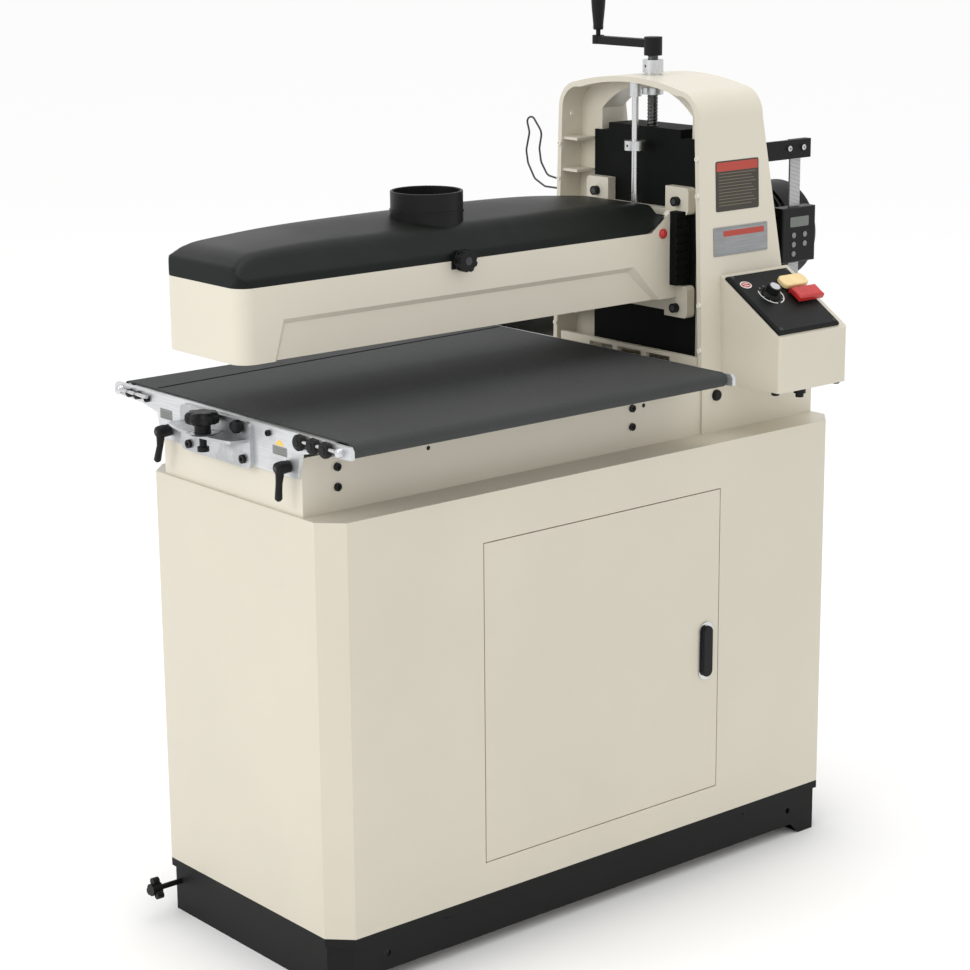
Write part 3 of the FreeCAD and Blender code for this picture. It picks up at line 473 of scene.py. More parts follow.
@dataclass(frozen=True)
class PowderCoat(Finish):
    """Sprayed and baked paint over steel or a casting, rubbed a little at its edges."""

    peel: float = 0.12
    peel_scale: float = 520.0
    worn: Colour = (0.5, 0.48, 0.44)
    wear: float = 0.25
    dust: float = 0.1
    coat: float = 0.15

    def dress(self, w: Wiring, shader: Node) -> None:
        """Adds drift in tone, rubbed edges, a little dust and the peel of the paint.

        Args:
            w: the material's wiring.
            shader: its Principled node.
        """
        grain = effect_node(w, Effect.GRAIN, {"Scale": self.peel_scale, "Drift Scale": 3.2})
        wear = effect_node(w, Effect.WEAR, {"Radius": 0.0016, "Amount": self.wear})
        dust = effect_node(w, Effect.DUST, {"Amount": self.dust})
        base = tone(w, shader, grain.outputs["Drift"], self.colour, 0.025)
        rubbed = w.mix(wear.outputs["Mask"], base, self.worn)
        w.link(w.mix(dust.outputs["Mask"], rubbed, (0.62, 0.56, 0.46)), shader.inputs["Base Color"])
        rough = w.span(grain.outputs["Drift"], 0.25, 0.75, self.roughness - 0.05, self.roughness + 0.06)
        w.link(w.math("ADD", rough, w.math("MULTIPLY", dust.outputs["Mask"], 0.3), True),
               shader.inputs["Roughness"])
        shader.inputs["Coat Weight"].default_value = self.coat
        shader.inputs["Coat Roughness"].default_value = 0.25
        bump(w, shader, grain.outputs["Height"], self.peel, 0.0006)


@dataclass(frozen=True)
class Moulded(Finish):
    """Moulded plastic with a fine spark-etched skin."""

    texture: float = 0.1

    def dress(self, w: Wiring, shader: Node) -> None:
        """Adds the etched grain and paler edges.

        Args:
            w: the material's wiring.
            shader: its Principled node.
        """
        grain = effect_node(w, Effect.GRAIN, {"Scale": 1500.0, "Drift Scale": 20.0})
        wear = effect_node(w, Effect.WEAR, {"Radius": 0.0008, "Amount": 0.35})
        base = tone(w, shader, grain.outputs["Drift"], self.colour, 0.08)
        w.link(w.mix(wear.outputs["Mask"], base, shaded(self.colour, 2.2)), shader.inputs["Base Color"])
        w.link(w.span(grain.outputs["Height"], 0.3, 0.7, self.roughness - 0.06, self.roughness + 0.08),
               shader.inputs["Roughness"])
        bump(w, shader, grain.outputs["Height"], self.texture, 0.0003)


@dataclass(frozen=True)
class GroundMetal(Finish):
    """Bare metal ground or turned along one direction."""

    lines: tuple[float, float, float] = (20.0, 2500.0, 2500.0)
    depth: float = 0.08

    def dress(self, w: Wiring, shader: Node) -> None:
        """Adds ground lines, patches of handling and full metalness.

        Args:
            w: the material's wiring.
            shader: its Principled node.
        """
        brushed = effect_node(w, Effect.BRUSHED, {f"Along {a}": s for a, s in zip("XYZ", self.lines)})
        grain = effect_node(w, Effect.GRAIN, {"Scale": 300.0, "Drift Scale": 25.0})
        base = tone(w, shader, brushed.outputs["Shade"], self.colour, 0.08)
        w.link(w.mix(w.span(grain.outputs["Drift"], 0.5, 0.75, 0.0, 0.25), base, shaded(self.colour, 0.6)),
               shader.inputs["Base Color"])
        w.link(w.span(grain.outputs["Drift"], 0.3, 0.7, self.roughness - 0.06, self.roughness + 0.08),
               shader.inputs["Roughness"])
        shader.inputs["Metallic"].default_value = 1.0
        bump(w, shader, brushed.outputs["Height"], self.depth, 0.0002)


@dataclass(frozen=True)
class Polished(Finish):
    """Plated metal with a mirror face and faint handling marks."""

    def dress(self, w: Wiring, shader: Node) -> None:
        """Adds faint smears in gloss and colour.

        Args:
            w: the material's wiring.
            shader: its Principled node.
        """
        grain = effect_node(w, Effect.GRAIN, {"Scale": 160.0, "Drift Scale": 45.0})
        tone(w, shader, grain.outputs["Drift"], self.colour, 0.03)
        w.link(w.span(grain.outputs["Drift"], 0.4, 0.75, self.roughness, self.roughness + 0.12),
               shader.inputs["Roughness"])
        shader.inputs["Metallic"].default_value = 1.0
        bump(w, shader, grain.outputs["Height"], 0.02, 0.0002)


@dataclass(frozen=True)
class CoatedCloth(Finish):
    """Abrasive-faced cloth: woven threads under a coat of grit."""

    speck: Colour = (0.2, 0.2, 0.2)
    thread: float = 1400.0
    grit: float = 2200.0
    rough_height: float = 0.5
    dust: float = 0.16

    def dress(self, w: Wiring, shader: Node) -> None:
        """Adds grit specks, threads and dust rubbed into the grit.

        Args:
            w: the material's wiring.
            shader: its Principled node.
        """
        weave = effect_node(w, Effect.WEAVE, {"Thread": self.thread, "Grit": self.grit})
        dust = effect_node(w, Effect.DUST, {"Amount": self.dust, "Scale": 7.0})
        speckled = w.mix(weave.outputs["Shade"], shaded(self.colour, 0.72), self.speck)
        w.link(w.mix(dust.outputs["Mask"], speckled, (0.42, 0.37, 0.29)), shader.inputs["Base Color"])
        w.link(w.span(weave.outputs["Shade"], 0.2, 0.8, self.roughness + 0.08, self.roughness - 0.08),
               shader.inputs["Roughness"])
        bump(w, shader, weave.outputs["Height"], self.rough_height, 0.0005)


@dataclass(frozen=True)
class ScaleStrip(Finish):
    """Printed steel rule: dark graduations across a pale strip, set out along Z."""

    pitch: float = 0.002
    mark: Colour = (0.05, 0.05, 0.055)

    def dress(self, w: Wiring, shader: Node) -> None:
        """Adds a graduation line at each pitch and a broader one at each fifth.

        Args:
            w: the material's wiring.
            shader: its Principled node.
        """
        parts = w.add("ShaderNodeSeparateXYZ")
        w.link(w.add("ShaderNodeTexCoord").outputs["Object"], parts.inputs["Vector"])
        lines = []
        for step in (self.pitch, self.pitch * 5):
            turn = w.math("FRACT", w.math("DIVIDE", parts.outputs["Z"], step))
            lines.append(w.math("LESS_THAN", turn, 0.3 * self.pitch / step))
        marks = w.math("MAXIMUM", lines[0], lines[1])
        grain = effect_node(w, Effect.GRAIN, {"Scale": 500.0})
        base = tone(w, shader, grain.outputs["Drift"], self.colour, 0.05)
        w.link(w.mix(marks, base, self.mark), shader.inputs["Base Color"])
        shader.inputs["Metallic"].default_value = 0.6
        bump(w, shader, grain.outputs["Height"], 0.03, 0.0002)


@dataclass(frozen=True)
class Screen(Finish):
    """Grey-green display behind a clear window."""

    def dress(self, w: Wiring, shader: Node) -> None:
        """Adds a faint drift and a glossy window over it.

        Args:
            w: the material's wiring.
            shader: its Principled node.
        """
        grain = effect_node(w, Effect.GRAIN, {"Scale": 900.0, "Drift Scale": 60.0})
        tone(w, shader, grain.outputs["Drift"], self.colour, 0.05)
        shader.inputs["Coat Weight"].default_value = 1.0
        shader.inputs["Coat Roughness"].default_value = 0.04


@dataclass(frozen=True)
class StudioPaper(Finish):
    """Even matt paper under the machine."""

    def dress(self, w: Wiring, shader: Node) -> None:
        """Leaves the paper's colour even and gives it a faint tooth."""
        grain = effect_node(w, Effect.GRAIN, {"Scale": 60.0})
        bump(w, shader, grain.outputs["Height"], 0.01, 0.0002)


class Kit:
    """The finishes this machine wears."""

    CREAM = PowderCoat("cream powder coat", (0.615, 0.573, 0.475), 0.42, 0.4, peel=0.08, wear=0.10, dust=0.0)
    CREAM_CAST = PowderCoat("cream casting paint", (0.655, 0.612, 0.512), 0.45, 0.4, peel=0.22,
                            peel_scale=260.0, wear=0.14, dust=0.0)
    BLACK = PowderCoat("black powder coat", (0.008, 0.0092, 0.0084), 0.5, 0.16, peel=0.22, peel_scale=420.0,
                       worn=(0.07, 0.07, 0.07), wear=0.3, dust=0.0, coat=0.0)
    COVER = PowderCoat("satin black cover paint", (0.0055, 0.0075, 0.0065), 0.42, 0.15, peel=0.2,
                       peel_scale=300.0, worn=(0.06, 0.065, 0.06), wear=0.3, dust=0.012, coat=0.0)
    CAST_BLACK = PowderCoat("black casting paint", (0.0045, 0.0058, 0.0052), 0.6, 0.08, peel=0.4,
                            peel_scale=210.0, worn=(0.08, 0.08, 0.08), wear=0.3, dust=0.01, coat=0.0)
    KNOB = Moulded("black knob plastic", (0.006, 0.006, 0.0065), 0.42, 0.2, texture=0.12)
    PANEL = Moulded("black panel plastic", (0.006, 0.0075, 0.0065), 0.4, 0.15, texture=0.16)
    DARK = Moulded("dark grey nylon", (0.045, 0.046, 0.05), 0.5, 0.3)
    RED = Moulded("red switch plastic", (0.50, 0.022, 0.02), 0.28, texture=0.04)
    YELLOW = Moulded("pale yellow plastic", (0.86, 0.66, 0.33), 0.35, texture=0.05)
    STEEL = GroundMetal("ground steel", (0.60, 0.60, 0.60), 0.26)
    STEEL_UP = GroundMetal("drawn steel rod", (0.66, 0.66, 0.67), 0.24, lines=(2500.0, 2500.0, 20.0))
    STEEL_DARK = GroundMetal("oiled screw steel", (0.10, 0.10, 0.10), 0.35, lines=(200.0, 200.0, 200.0))
    TURNED = GroundMetal("turned aluminium", (0.60, 0.61, 0.62), 0.32, lines=(900.0, 900.0, 40.0))
    RAIL = GroundMetal("satin rail aluminium", (0.66, 0.67, 0.68), 0.42, lines=(60.0, 14.0, 1800.0),
                       depth=0.12)
    ZINC = GroundMetal("zinc plated sheet", (0.52, 0.53, 0.54), 0.4, lines=(30.0, 30.0, 30.0), depth=0.04)
    CHROME = Polished("bright chrome", (0.62, 0.62, 0.64), 0.08)
    BELT = CoatedCloth("charcoal conveyor cloth", (0.042, 0.045, 0.044), 0.74, 0.22,
                       speck=(0.078, 0.082, 0.082), rough_height=0.35, dust=0.0)
    BELT_SEAM = CoatedCloth("belt joint", (0.04, 0.042, 0.042), 0.7, 0.25, speck=(0.066, 0.069, 0.069),
                            rough_height=0.2, dust=0.0)
    GRIT = CoatedCloth("brown abrasive cloth", (0.26, 0.12, 0.055), 0.85, speck=(0.42, 0.24, 0.13),
                       thread=900.0, grit=1300.0, rough_height=0.9)
    RULE = ScaleStrip("graduated rule", (0.55, 0.55, 0.55), 0.35)
    SCREEN = Screen("display window", (0.09, 0.105, 0.09), 0.3)
    LABEL_DARK = Finish("dark label film", (0.030, 0.024, 0.016), 0.4)
    LABEL_RED = Finish("red label film", (0.42, 0.045, 0.025), 0.4)
    LABEL_LINE = Finish("pale label print", (0.15, 0.125, 0.075), 0.5)
    LABEL_WHITE = Finish("white label film", (0.75, 0.74, 0.72), 0.4)
    LABEL_YELLOW = Finish("yellow label film", (0.80, 0.52, 0.08), 0.4)
    LABEL_GREY = Finish("grey label film", (0.20, 0.21, 0.21), 0.4)
    PLATE = GroundMetal("badge plate", (0.30, 0.305, 0.31), 0.34, lines=(18.0, 1500.0, 1500.0))
    SCREW = Finish("white screw paint", (0.78, 0.75, 0.68), 0.35)


# ---------------------------------------------------------------- mesh making
class Shaper:
    """Makes meshes in place, in the machine's frame."""

    @staticmethod
    def bare(name: str, bm: BMesh) -> Object:
        """Turns a bmesh into an object with no finish, its faces turned outwards.

        Args:
            name: the object's name.
            bm: its mesh, which is used up.

        Returns:
            The new object.
        """
        bmesh.ops.recalc_face_normals(bm, faces=bm.faces)
        mesh = bpy.data.meshes.new(name)
        bm.to_mesh(mesh)
        bm.free()
        obj = bpy.data.objects.new(name, mesh)
        bpy.context.scene.collection.objects.link(obj)
        return obj

    @staticmethod
    def add(name: str, bm: BMesh, finish: Finish, body: str, slot: str | None = None,
            round_edges: float = 0.0, smooth_angle: float = 35.0) -> Object:
        """Turns a bmesh into a dressed piece that rides on a body.

        Args:
            name: the piece's name.
            bm: its mesh, which is used up.
            finish: what it wears.
            body: the CAD body it moves with.
            slot: not used.
            round_edges: radius to round its edges by, in metres, or 0.
            smooth_angle: edges sharper than this stay sharp, in degrees.

        Returns:
            The new object.
        """
        obj = Shaper.bare(name, bm)
        Shaper.soften(obj, round_edges, smooth_angle)
        obj.data.materials.append(finish.material())
        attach(obj, body)
        return obj

    @staticmethod
    def soften(obj: Object, radius: float, smooth_angle: float = 35.0, segments: int = 3) -> None:
        """Smooths a mesh's shading below an angle and rounds its sharper edges by a radius.

        Args:
            obj: the piece.
            radius: radius of the rounded edges in metres, or 0.
            smooth_angle: edges sharper than this stay sharp, in degrees.
            segments: steps across a rounded edge.
        """
        mesh = obj.data
        mesh.polygons.foreach_set("use_smooth", [True] * len(mesh.polygons))
        mesh.set_sharp_from_angle(angle=math.radians(smooth_angle))
        if radius > 0:
            bevel = obj.modifiers.new("rounded edges", "BEVEL")
            bevel.width = radius
            bevel.segments = segments
            bevel.limit_method = "ANGLE"
            bevel.angle_limit = math.radians(smooth_angle)
            bevel.harden_normals = True
            bevel.use_clamp_overlap = True

    @staticmethod
    def lathe(bm: BMesh, profile: Sequence[Point2], place: Matrix, segments: int = 48) -> None:
        """Spins a profile of (radius, height) points about the place's Z axis.

        Args:
            bm: mesh to add to.
            profile: points from one end of the axis to the other; a radius of 0 closes an end.
            place: puts the turned piece in the machine's frame.
            segments: steps round.
        """
        rings = []
        for radius, height in profile:
            if radius < 1e-7:
                rings.append([bm.verts.new(place @ Vector((0, 0, height)))])
                continue
            ring = []
            for k in range(segments):
                a = 2 * math.pi * k / segments
                point = Vector((radius * math.cos(a), radius * math.sin(a), height))
                ring.append(bm.verts.new(place @ point))
            rings.append(ring)
        for low, high in zip(rings, rings[1:]):
            for k in range(segments):
                n = (k + 1) % segments
                corners = [low[k % len(low)], low[n % len(low)], high[n % len(high)], high[k % len(high)]]
                bm.faces.new(list(dict.fromkeys(corners)))

    @staticmethod
    def prism(bm: BMesh, outline: Sequence[Point2], depth: float, place: Matrix) -> None:
        """Raises a flat outline to a solid of a given depth along the place's Z axis.

        Args:
            bm: mesh to add to.
            outline: points in the plane, in order.
            depth: how far it is raised.
            place: puts the solid in the machine's frame.
        """
        low = [bm.verts.new(place @ Vector((x, y, 0))) for x, y in outline]
        high = [bm.verts.new(place @ Vector((x, y, depth))) for x, y in outline]
        bm.faces.new(list(reversed(low)))
        bm.faces.new(high)
        for k in range(len(outline)):
            n = (k + 1) % len(outline)
            bm.faces.new([low[k], low[n], high[n], high[k]])

    @staticmethod
    def tube(bm: BMesh, path: Sequence[Vector], radii: Sequence[float], segments: int = 14) -> None:
        """Sweeps a round section of changing radius along a path and closes both ends.

        Args:
            bm: mesh to add to.
            path: points along the middle.
            radii: a radius for each point.
            segments: steps round.
        """
        rings = []
        side = Vector((1, 0, 0))
        for k, point in enumerate(path):
            ahead = path[min(k + 1, len(path) - 1)] - path[max(k - 1, 0)]
            ahead.normalize()
            side = (side - ahead * side.dot(ahead)).normalized()
            up = ahead.cross(side)
            rings.append([bm.verts.new(point + (side * math.cos(a) + up * math.sin(a)) * radii[k])
                          for a in (2 * math.pi * s / segments for s in range(segments))])
        for low, high in zip(rings, rings[1:]):
            for k in range(segments):
                n = (k + 1) % segments
                bm.faces.new([low[k], low[n], high[n], high[k]])
        bm.faces.new(list(reversed(rings[0])))
        bm.faces.new(rings[-1])


def rounded_outline(width: float, height: float, radius: float, steps: int = 6) -> list[Point2]:
    """Outline of a rectangle about the origin with round corners.

    Args:
        width: its size along X.
        height: its size along Y.
        radius: its corners' radius.
        steps: steps round each corner.

    Returns:
        The outline, anticlockwise.
    """
    points = []
    for corner in range(4):
        sx = 1 if corner in (0, 3) else -1
        sy = 1 if corner in (0, 1) else -1
        cx, cy = sx * (width / 2 - radius), sy * (height / 2 - radius)
        for k in range(steps + 1):
            a = math.radians(90 * corner + 90 * k / steps)
            points.append((cx + radius * math.cos(a), cy + radius * math.sin(a)))
    return points


def disc_outline(radius: float, steps: int = 32, squeeze: float = 1.0) -> list[Point2]:
    """Outline of a circle or ellipse about the origin."""
    turns = [2 * math.pi * k / steps for k in range(steps)]
    return [(radius * math.cos(a), radius * squeeze * math.sin(a)) for a in turns]


def axes(origin: Sequence[float], x: Sequence[float], z: Sequence[float]) -> Matrix:
    """A placement whose X and Z axes point as given.

    Args:
        origin: where its origin lies.
        x: direction of its X axis, made square to z.
        z: direction of its Z axis.

    Returns:
        The 4x4 placement.
    """
    up = Vector(z).normalized()
    across = Vector(x)
    across = (across - up * across.dot(up)).normalized()
    third = up.cross(across)
    turned = Matrix((across, third, up)).transposed().to_4x4()
    return Matrix.Translation(Vector(origin)) @ turned


class Side(Enum):
    """Ways a part can face: the directions of its own X and Z axes."""

    FRONT = (1, 0, 0), (0, -1, 0)
    REAR = (1, 0, 0), (0, 1, 0)
    LEFT = (0, 1, 0), (-1, 0, 0)
    LEFT_LABEL = (0, -1, 0), (-1, 0, 0)
    RIGHT = (0, 1, 0), (1, 0, 0)
    UP = (1, 0, 0), (0, 0, 1)
    DOWN = (1, 0, 0), (0, 0, -1)

    def at(self, x: float, y: float, z: float) -> Matrix:
        """A placement at a point that faces this way."""
        return axes((x, y, z), *self.value)


def centre(node: str) -> Vector:
    """Middle of a CAD node's box."""
    low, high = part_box(node)
    return (low + high) / 2


# ---------------------------------------------------------------- sub-assemblies
@dataclass
class SubAssembly:
    """A group of pieces: it dresses its CAD nodes and adds its own small parts."""

    nodes: dict[str, Object] = field(repr=False)

    def dress(self, finish: Finish, *names: str) -> None:
        """Gives CAD nodes a finish.

        Args:
            finish: what they wear.
            names: the nodes.
        """
        for name in names:
            mesh = self.nodes[name].data
            mesh.materials.clear()
            mesh.materials.append(finish.material())
            LOG.info("dressed %s in %s", name, finish.name)

    def piece(self, name: str, finish: Finish, body: str, slot: str, make: Filler,
              round_edges: float = 0.0, smooth_angle: float = 35.0) -> Object:
        """Adds a new piece.

        Args:
            name: its name.
            finish: what it wears.
            body: the body it moves with.
            slot: not used; it is only passed on to Shaper.add.
            make: fills the mesh it is given.
            round_edges: radius of its rounded edges.
            smooth_angle: edges sharper than this stay sharp, in degrees.

        Returns:
            The piece.
        """
        bm = bmesh.new()
        make(bm)
        obj = Shaper.add(name, bm, finish, body, slot, round_edges, smooth_angle)
        LOG.info("built %s on %s", name, body)
        return obj


def raised(outlines: Iterable[Sequence[Point2]], depth: float,
           place: Matrix) -> Filler:
    """A mesh filler that raises several flat outlines in one placement.

    Args:
        outlines: the outlines.
        depth: how far each is raised.
        place: where their plane lies.

    Returns:
        The filler.
    """
    def fill(bm: BMesh) -> None:
        """Raises each outline."""
        for outline in outlines:
            Shaper.prism(bm, outline, depth, place)
    return fill


def turned(profile: Sequence[Point2], places: Iterable[Matrix],
           segments: int = 48) -> Filler:
    """A mesh filler that turns one profile at several placements.

    Args:
        profile: (radius, height) points.
        places: one placement for each copy.
        segments: steps round.

    Returns:
        The filler.
    """
    def fill(bm: BMesh) -> None:
        """Turns the profile at each place."""
        for place in places:
            Shaper.lathe(bm, profile, place, segments)
    return fill


def mm(*points: Point2) -> list[Point2]:
    """Points given in millimetres."""
    return [(a * MM, b * MM) for a, b in points]


def moved(outline: Iterable[Point2], x: float, y: float) -> list[Point2]:
    """An outline shifted across its own plane."""
    return [(px + x, py + y) for px, py in outline]


def bar(x0: float, x1: float, y0: float, y1: float) -> list[Point2]:
    """Outline of a plain rectangle between two corners."""
    return [(x0, y0), (x1, y0), (x1, y1), (x0, y1)]


def cap_screw(radius: float, height: float, socket: float = 0.5) -> list[Point2]:
    """Profile of a socket-head screw whose socket is a share of its radius."""
    return [(0, height * 0.35), (radius * socket, height * 0.35), (radius * socket, height),
            (radius * 0.88, height), (radius, height * 0.86), (radius, 0), (0, 0)]


@dataclass
class Stand(SubAssembly):
    """The closed cabinet, its door and the skirt under it."""

    screw_inset: float = 0.19
    screw_drop: float = 0.016

    def build(self) -> None:
        """Dresses the cabinet and adds its fixings."""
        self.dress(Kit.CREAM, "left_end_panel", "right_end_panel", "front_panel", "rear_panel", "cabinet_top",
                   "cabinet_shelves", "cabinet_door")
        self.dress(Kit.BLACK, "base_skirt")
        self.dress(Kit.CHROME, "latch_plate")
        self.dress(Kit.KNOB, "latch_lever", "side_knob")
        self._latch_rivets()
        self._skirt_bolts()

    def _latch_rivets(self) -> None:
        """Two rivets that hold the latch's plate to the door."""
        low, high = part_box("latch_plate")
        x = (low.x + high.x) / 2
        places = [Side.FRONT.at(x, low.y, z) for z in (low.z + 0.005, high.z - 0.005)]
        dome = mm((0, 0.8), (1.2, 0.7), (2.2, 0.2), (2.2, -0.4), (0, -0.4))
        self.piece("latch_rivets", Kit.CHROME, "door", "chrome_plate", turned(dome, places, 20))

    def _skirt_bolts(self) -> None:
        """Button heads that tie the skirt to the cabinet from its two long sides."""
        low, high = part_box("base_skirt")
        places = []
        for x in (low.x + self.screw_inset, high.x - self.screw_inset):
            places.append(Side.FRONT.at(x, low.y, high.z - self.screw_drop))
            places.append(Side.REAR.at(x, high.y, high.z - self.screw_drop))
        self.piece("skirt_screws", Kit.KNOB, "stand", "black_paint",
                   turned(mm((0, 0.2), (2, 0.2), (2.2, 0), (2.2, -1), (0, -1)), places, 20))


@dataclass
class Bed(SubAssembly):
    """The frame casting under the conveyor and the pillar's foot."""

    front: float = -0.157
    hole_x: Point2 = (-0.29, 0.106)
    hole_z: float = 0.716
    plug_z: float = 0.711

    def build(self) -> None:
        """Dresses the castings and their screws."""
        self.dress(Kit.CREAM_CAST, "bed_frame", "column_base")
        self.dress(Kit.KNOB, "frame_screws")
        self._front_plug()
        # painted shade: black discs for the dark inside of the frame's open holes
        self._sockets()

    def _front_plug(self) -> None:
        """The round rubber plug in the foot's front wall, just right of the conveyor."""
        low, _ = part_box("column_base")
        place = Side.FRONT.at(low.x + 0.029, low.y, self.plug_z)
        profile = mm((0, 5.2), (6.6, 5), (7.8, 4), (8.4, 2), (8.4, -0.5), (0, -0.5))
        self.piece("foot_plug", Kit.KNOB, "stand", "black_plastic", turned(profile, [place], 32))

    def _sockets(self) -> None:
        """Black discs on the frame's front wall: painted shade that stands for small threaded holes left open
        there.
        """
        holes = [Side.FRONT.at(x, self.front, self.hole_z) for x in self.hole_x]
        rim = mm((0, 0.3), (2.8, 0.3), (3.2, 0), (3.2, -0.5), (0, -0.5))
        # painted shade: flat black discs in place of the shaded inside of each open hole
        self.piece("frame_hole_painted_shade", Kit.KNOB, "stand", "black_plastic", turned(rim, holes, 20))


@dataclass
class Column(SubAssembly):
    """The arched pillar with its plates, screws, stop rod and scale."""

    foot_z: float = 0.735
    foot_y: float = -0.159
    lean: float = 0.03714
    film: float = 0.4 * MM

    def face_place(self, x: float, z: float) -> Matrix:
        """Placement on the pillar's leaning front face.

        Args:
            x: across the machine.
            z: height.

        Returns:
            A placement with X to the right, Y up the face and Z out of it.
        """
        y = self.foot_y + self.lean * (z - self.foot_z)
        slope = math.atan(self.lean)
        return axes((x, y, z), (1, 0, 0), (0, -math.cos(slope), math.sin(slope)))

    def build(self) -> None:
        """Dresses the pillar and adds its plates and small parts."""
        self.dress(Kit.CREAM_CAST, "column")
        self.dress(Kit.SCREW, "cover_screws")
        self.dress(Kit.STEEL_UP, "stop_rod")
        self.dress(Kit.TURNED, "rod_collars", "screw_bearing")
        self.dress(Kit.BLACK, "scale_bracket")
        self.dress(Kit.RULE, "scale_bar")
        self.dress(Kit.DARK, "hose_hook")
        self._warning_plate()
        self._badge()
        self._bracket_screws()

    def _warning_plate(self) -> None:
        """A safety plate: a red head over a dark field with plain pale rules and no wording."""
        width, height = 0.089, 0.073
        place = self.face_place(0.2985, 1.0155)
        self.piece("safety_plate", Kit.LABEL_DARK, "stand", "black_paint",
                   raised([rounded_outline(width, height, 0.003)], self.film, place))
        lift = place @ Matrix.Translation((0, 0, self.film))
        head = moved(rounded_outline(width - 0.004, 0.013, 0.0015, 3), 0, height / 2 - 0.0085)
        self.piece("safety_plate_head", Kit.LABEL_RED, "stand", "red_plastic",
                   raised([head], PRINT, lift))
        rules = []
        for row in range(11):
            y = height / 2 - 0.0190 - row * 0.0046
            right = width / 2 - 0.006 - 0.014 * ((row * 5) % 3) / 3
            rules.append(bar(-width / 2 + 0.006, right, y, y + 0.0012))
        self.piece("safety_plate_rules", Kit.LABEL_LINE, "stand", "white_screw", raised(rules, PRINT, lift))

    def _badge(self) -> None:
        """A blank metal badge with a red bar across its head."""
        width, height = 0.112, 0.042
        place = self.face_place(0.304, 0.9355)
        self.piece("badge", Kit.PLATE, "stand", "bright_steel",
                   raised([rounded_outline(width, height, 0.002)], 0.0012, place), round_edges=0.0004)
        lift = place @ Matrix.Translation((0, 0, 0.0012))
        stripe = bar(-width * 0.32, width * 0.43, height * 0.16, height * 0.36)
        self.piece("badge_bar", Kit.LABEL_RED, "stand", "red_plastic", raised([stripe], LABEL, lift))
        rim = []
        for sy in (-1, 1):
            rim.append(bar(-width / 2 + 0.003, width / 2 - 0.003, sy * height * 0.44 - 0.0004,
                           sy * height * 0.44 + 0.0004))
        self.piece("badge_rim", Kit.LABEL_GREY, "stand", "dark_grey", raised(rim, PRINT, lift))

    def _bracket_screws(self) -> None:
        """The two screws in the scale bracket."""
        low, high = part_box("scale_bracket")
        heads = [Side.FRONT.at(x, low.y, (low.z + high.z) / 2 + 0.002)
                 for x in (low.x + 0.088, low.x + 0.118)]
        self.piece("bracket_screws", Kit.STEEL, "stand", "bright_steel",
                   turned(cap_screw(0.0042, 0.0035), heads, 24))


@dataclass
class DrumHead(SubAssembly):
    """The lifting head: carriage, cantilever arm, drum, rollers, motor and readout."""

    bolt_y: Point2 = (-0.082, 0.092)
    bolt_z: Point2 = (0.990, 0.832)
    button_at: tuple[float, float, float] = (0.213, -0.082, 0.945)

    def build(self) -> None:
        """Dresses the head and adds its small parts."""
        self.dress(Kit.CAST_BLACK, "carriage")
        self.dress(Kit.CREAM_CAST, "arm_casting")
        self.dress(Kit.KNOB, "arm_bolts", "readout")
        self.dress(Kit.DARK, "drum_bearings")
        self.dress(Kit.ZINC, "roller_hangers")
        self.dress(Kit.BLACK, "motor", "motor_fan_cover", "readout_bracket")
        self.dress(Kit.TURNED, "drum")
        self.dress(Kit.GRIT, "abrasive_wrap")
        self.dress(Kit.STEEL, "drum_shaft", "infeed_roller", "outfeed_roller")
        self._bolt_caps()
        self._lamp()
        self._readout_face()
        self._motor_plate()

    def _bolt_caps(self) -> None:
        """Hexagon sockets in the four arm bolts."""
        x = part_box("arm_bolts")[0].x
        places = [Side.LEFT.at(x, y, z) for y in self.bolt_y for z in self.bolt_z]
        rim = mm((0, 0.1), (4.2, 0.1), (4.4, 0.2), (4.4, -0.6), (0, -0.6))
        self.piece("arm_bolt_sockets", Kit.DARK, "head", "dark_grey", turned(rim, places, 6), smooth_angle=20)

    def _lamp(self) -> None:
        """The red button beside the arm's root."""
        place = Side.FRONT.at(*self.button_at)
        profile = mm((0, 6), (3, 5.7), (5, 4.5), (5.6, 3), (7.2, 2.2), (7.2, -1), (0, -1))
        self.piece("arm_button", Kit.RED, "head", "red_plastic", turned(profile, [place], 32))

    def _readout_face(self) -> None:
        """The display window and the five keys on the thickness readout."""
        low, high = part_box("readout")
        place = Side.FRONT.at((low.x + high.x) / 2, low.y, (low.z + high.z) / 2)
        self.piece("readout_window", Kit.SCREEN, "head", "dark_grey",
                   raised([moved(rounded_outline(0.040, 0.015, 0.002), 0.0, 0.020)], 0.0004, place))
        keys = mm((-12, 0), (12, 0), (-12, -14), (12, -14), (-12, -28))
        outlines = [moved(disc_outline(0.0042, 24), x, y) for x, y in keys]
        self.piece("readout_keys", Kit.LABEL_GREY, "head", "dark_grey",
                   raised(outlines, 0.0012, place), round_edges=0.0003)

    def _motor_plate(self) -> None:
        """A blank rating plate on the motor's capacitor box."""
        low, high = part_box("motor")
        place = Side.UP.at((low.x + high.x) / 2 + 0.01, 0.005, high.z)
        self.piece("motor_plate", Kit.PLATE, "head", "bright_steel",
                   raised([rounded_outline(0.052, 0.034, 0.002)], 0.0003, place))


def softest(values: Sequence[float], blend: float) -> float:
    """The least of several values, eased where two of them are close.

    Args:
        values: the values.
        blend: how near two values are before they ease into each other.

    Returns:
        A value no greater than the least.
    """
    low = values[0]
    for value in values[1:]:
        near = max(blend - abs(low - value), 0.0) / blend
        low = min(low, value) - near * near * blend / 4
    return low


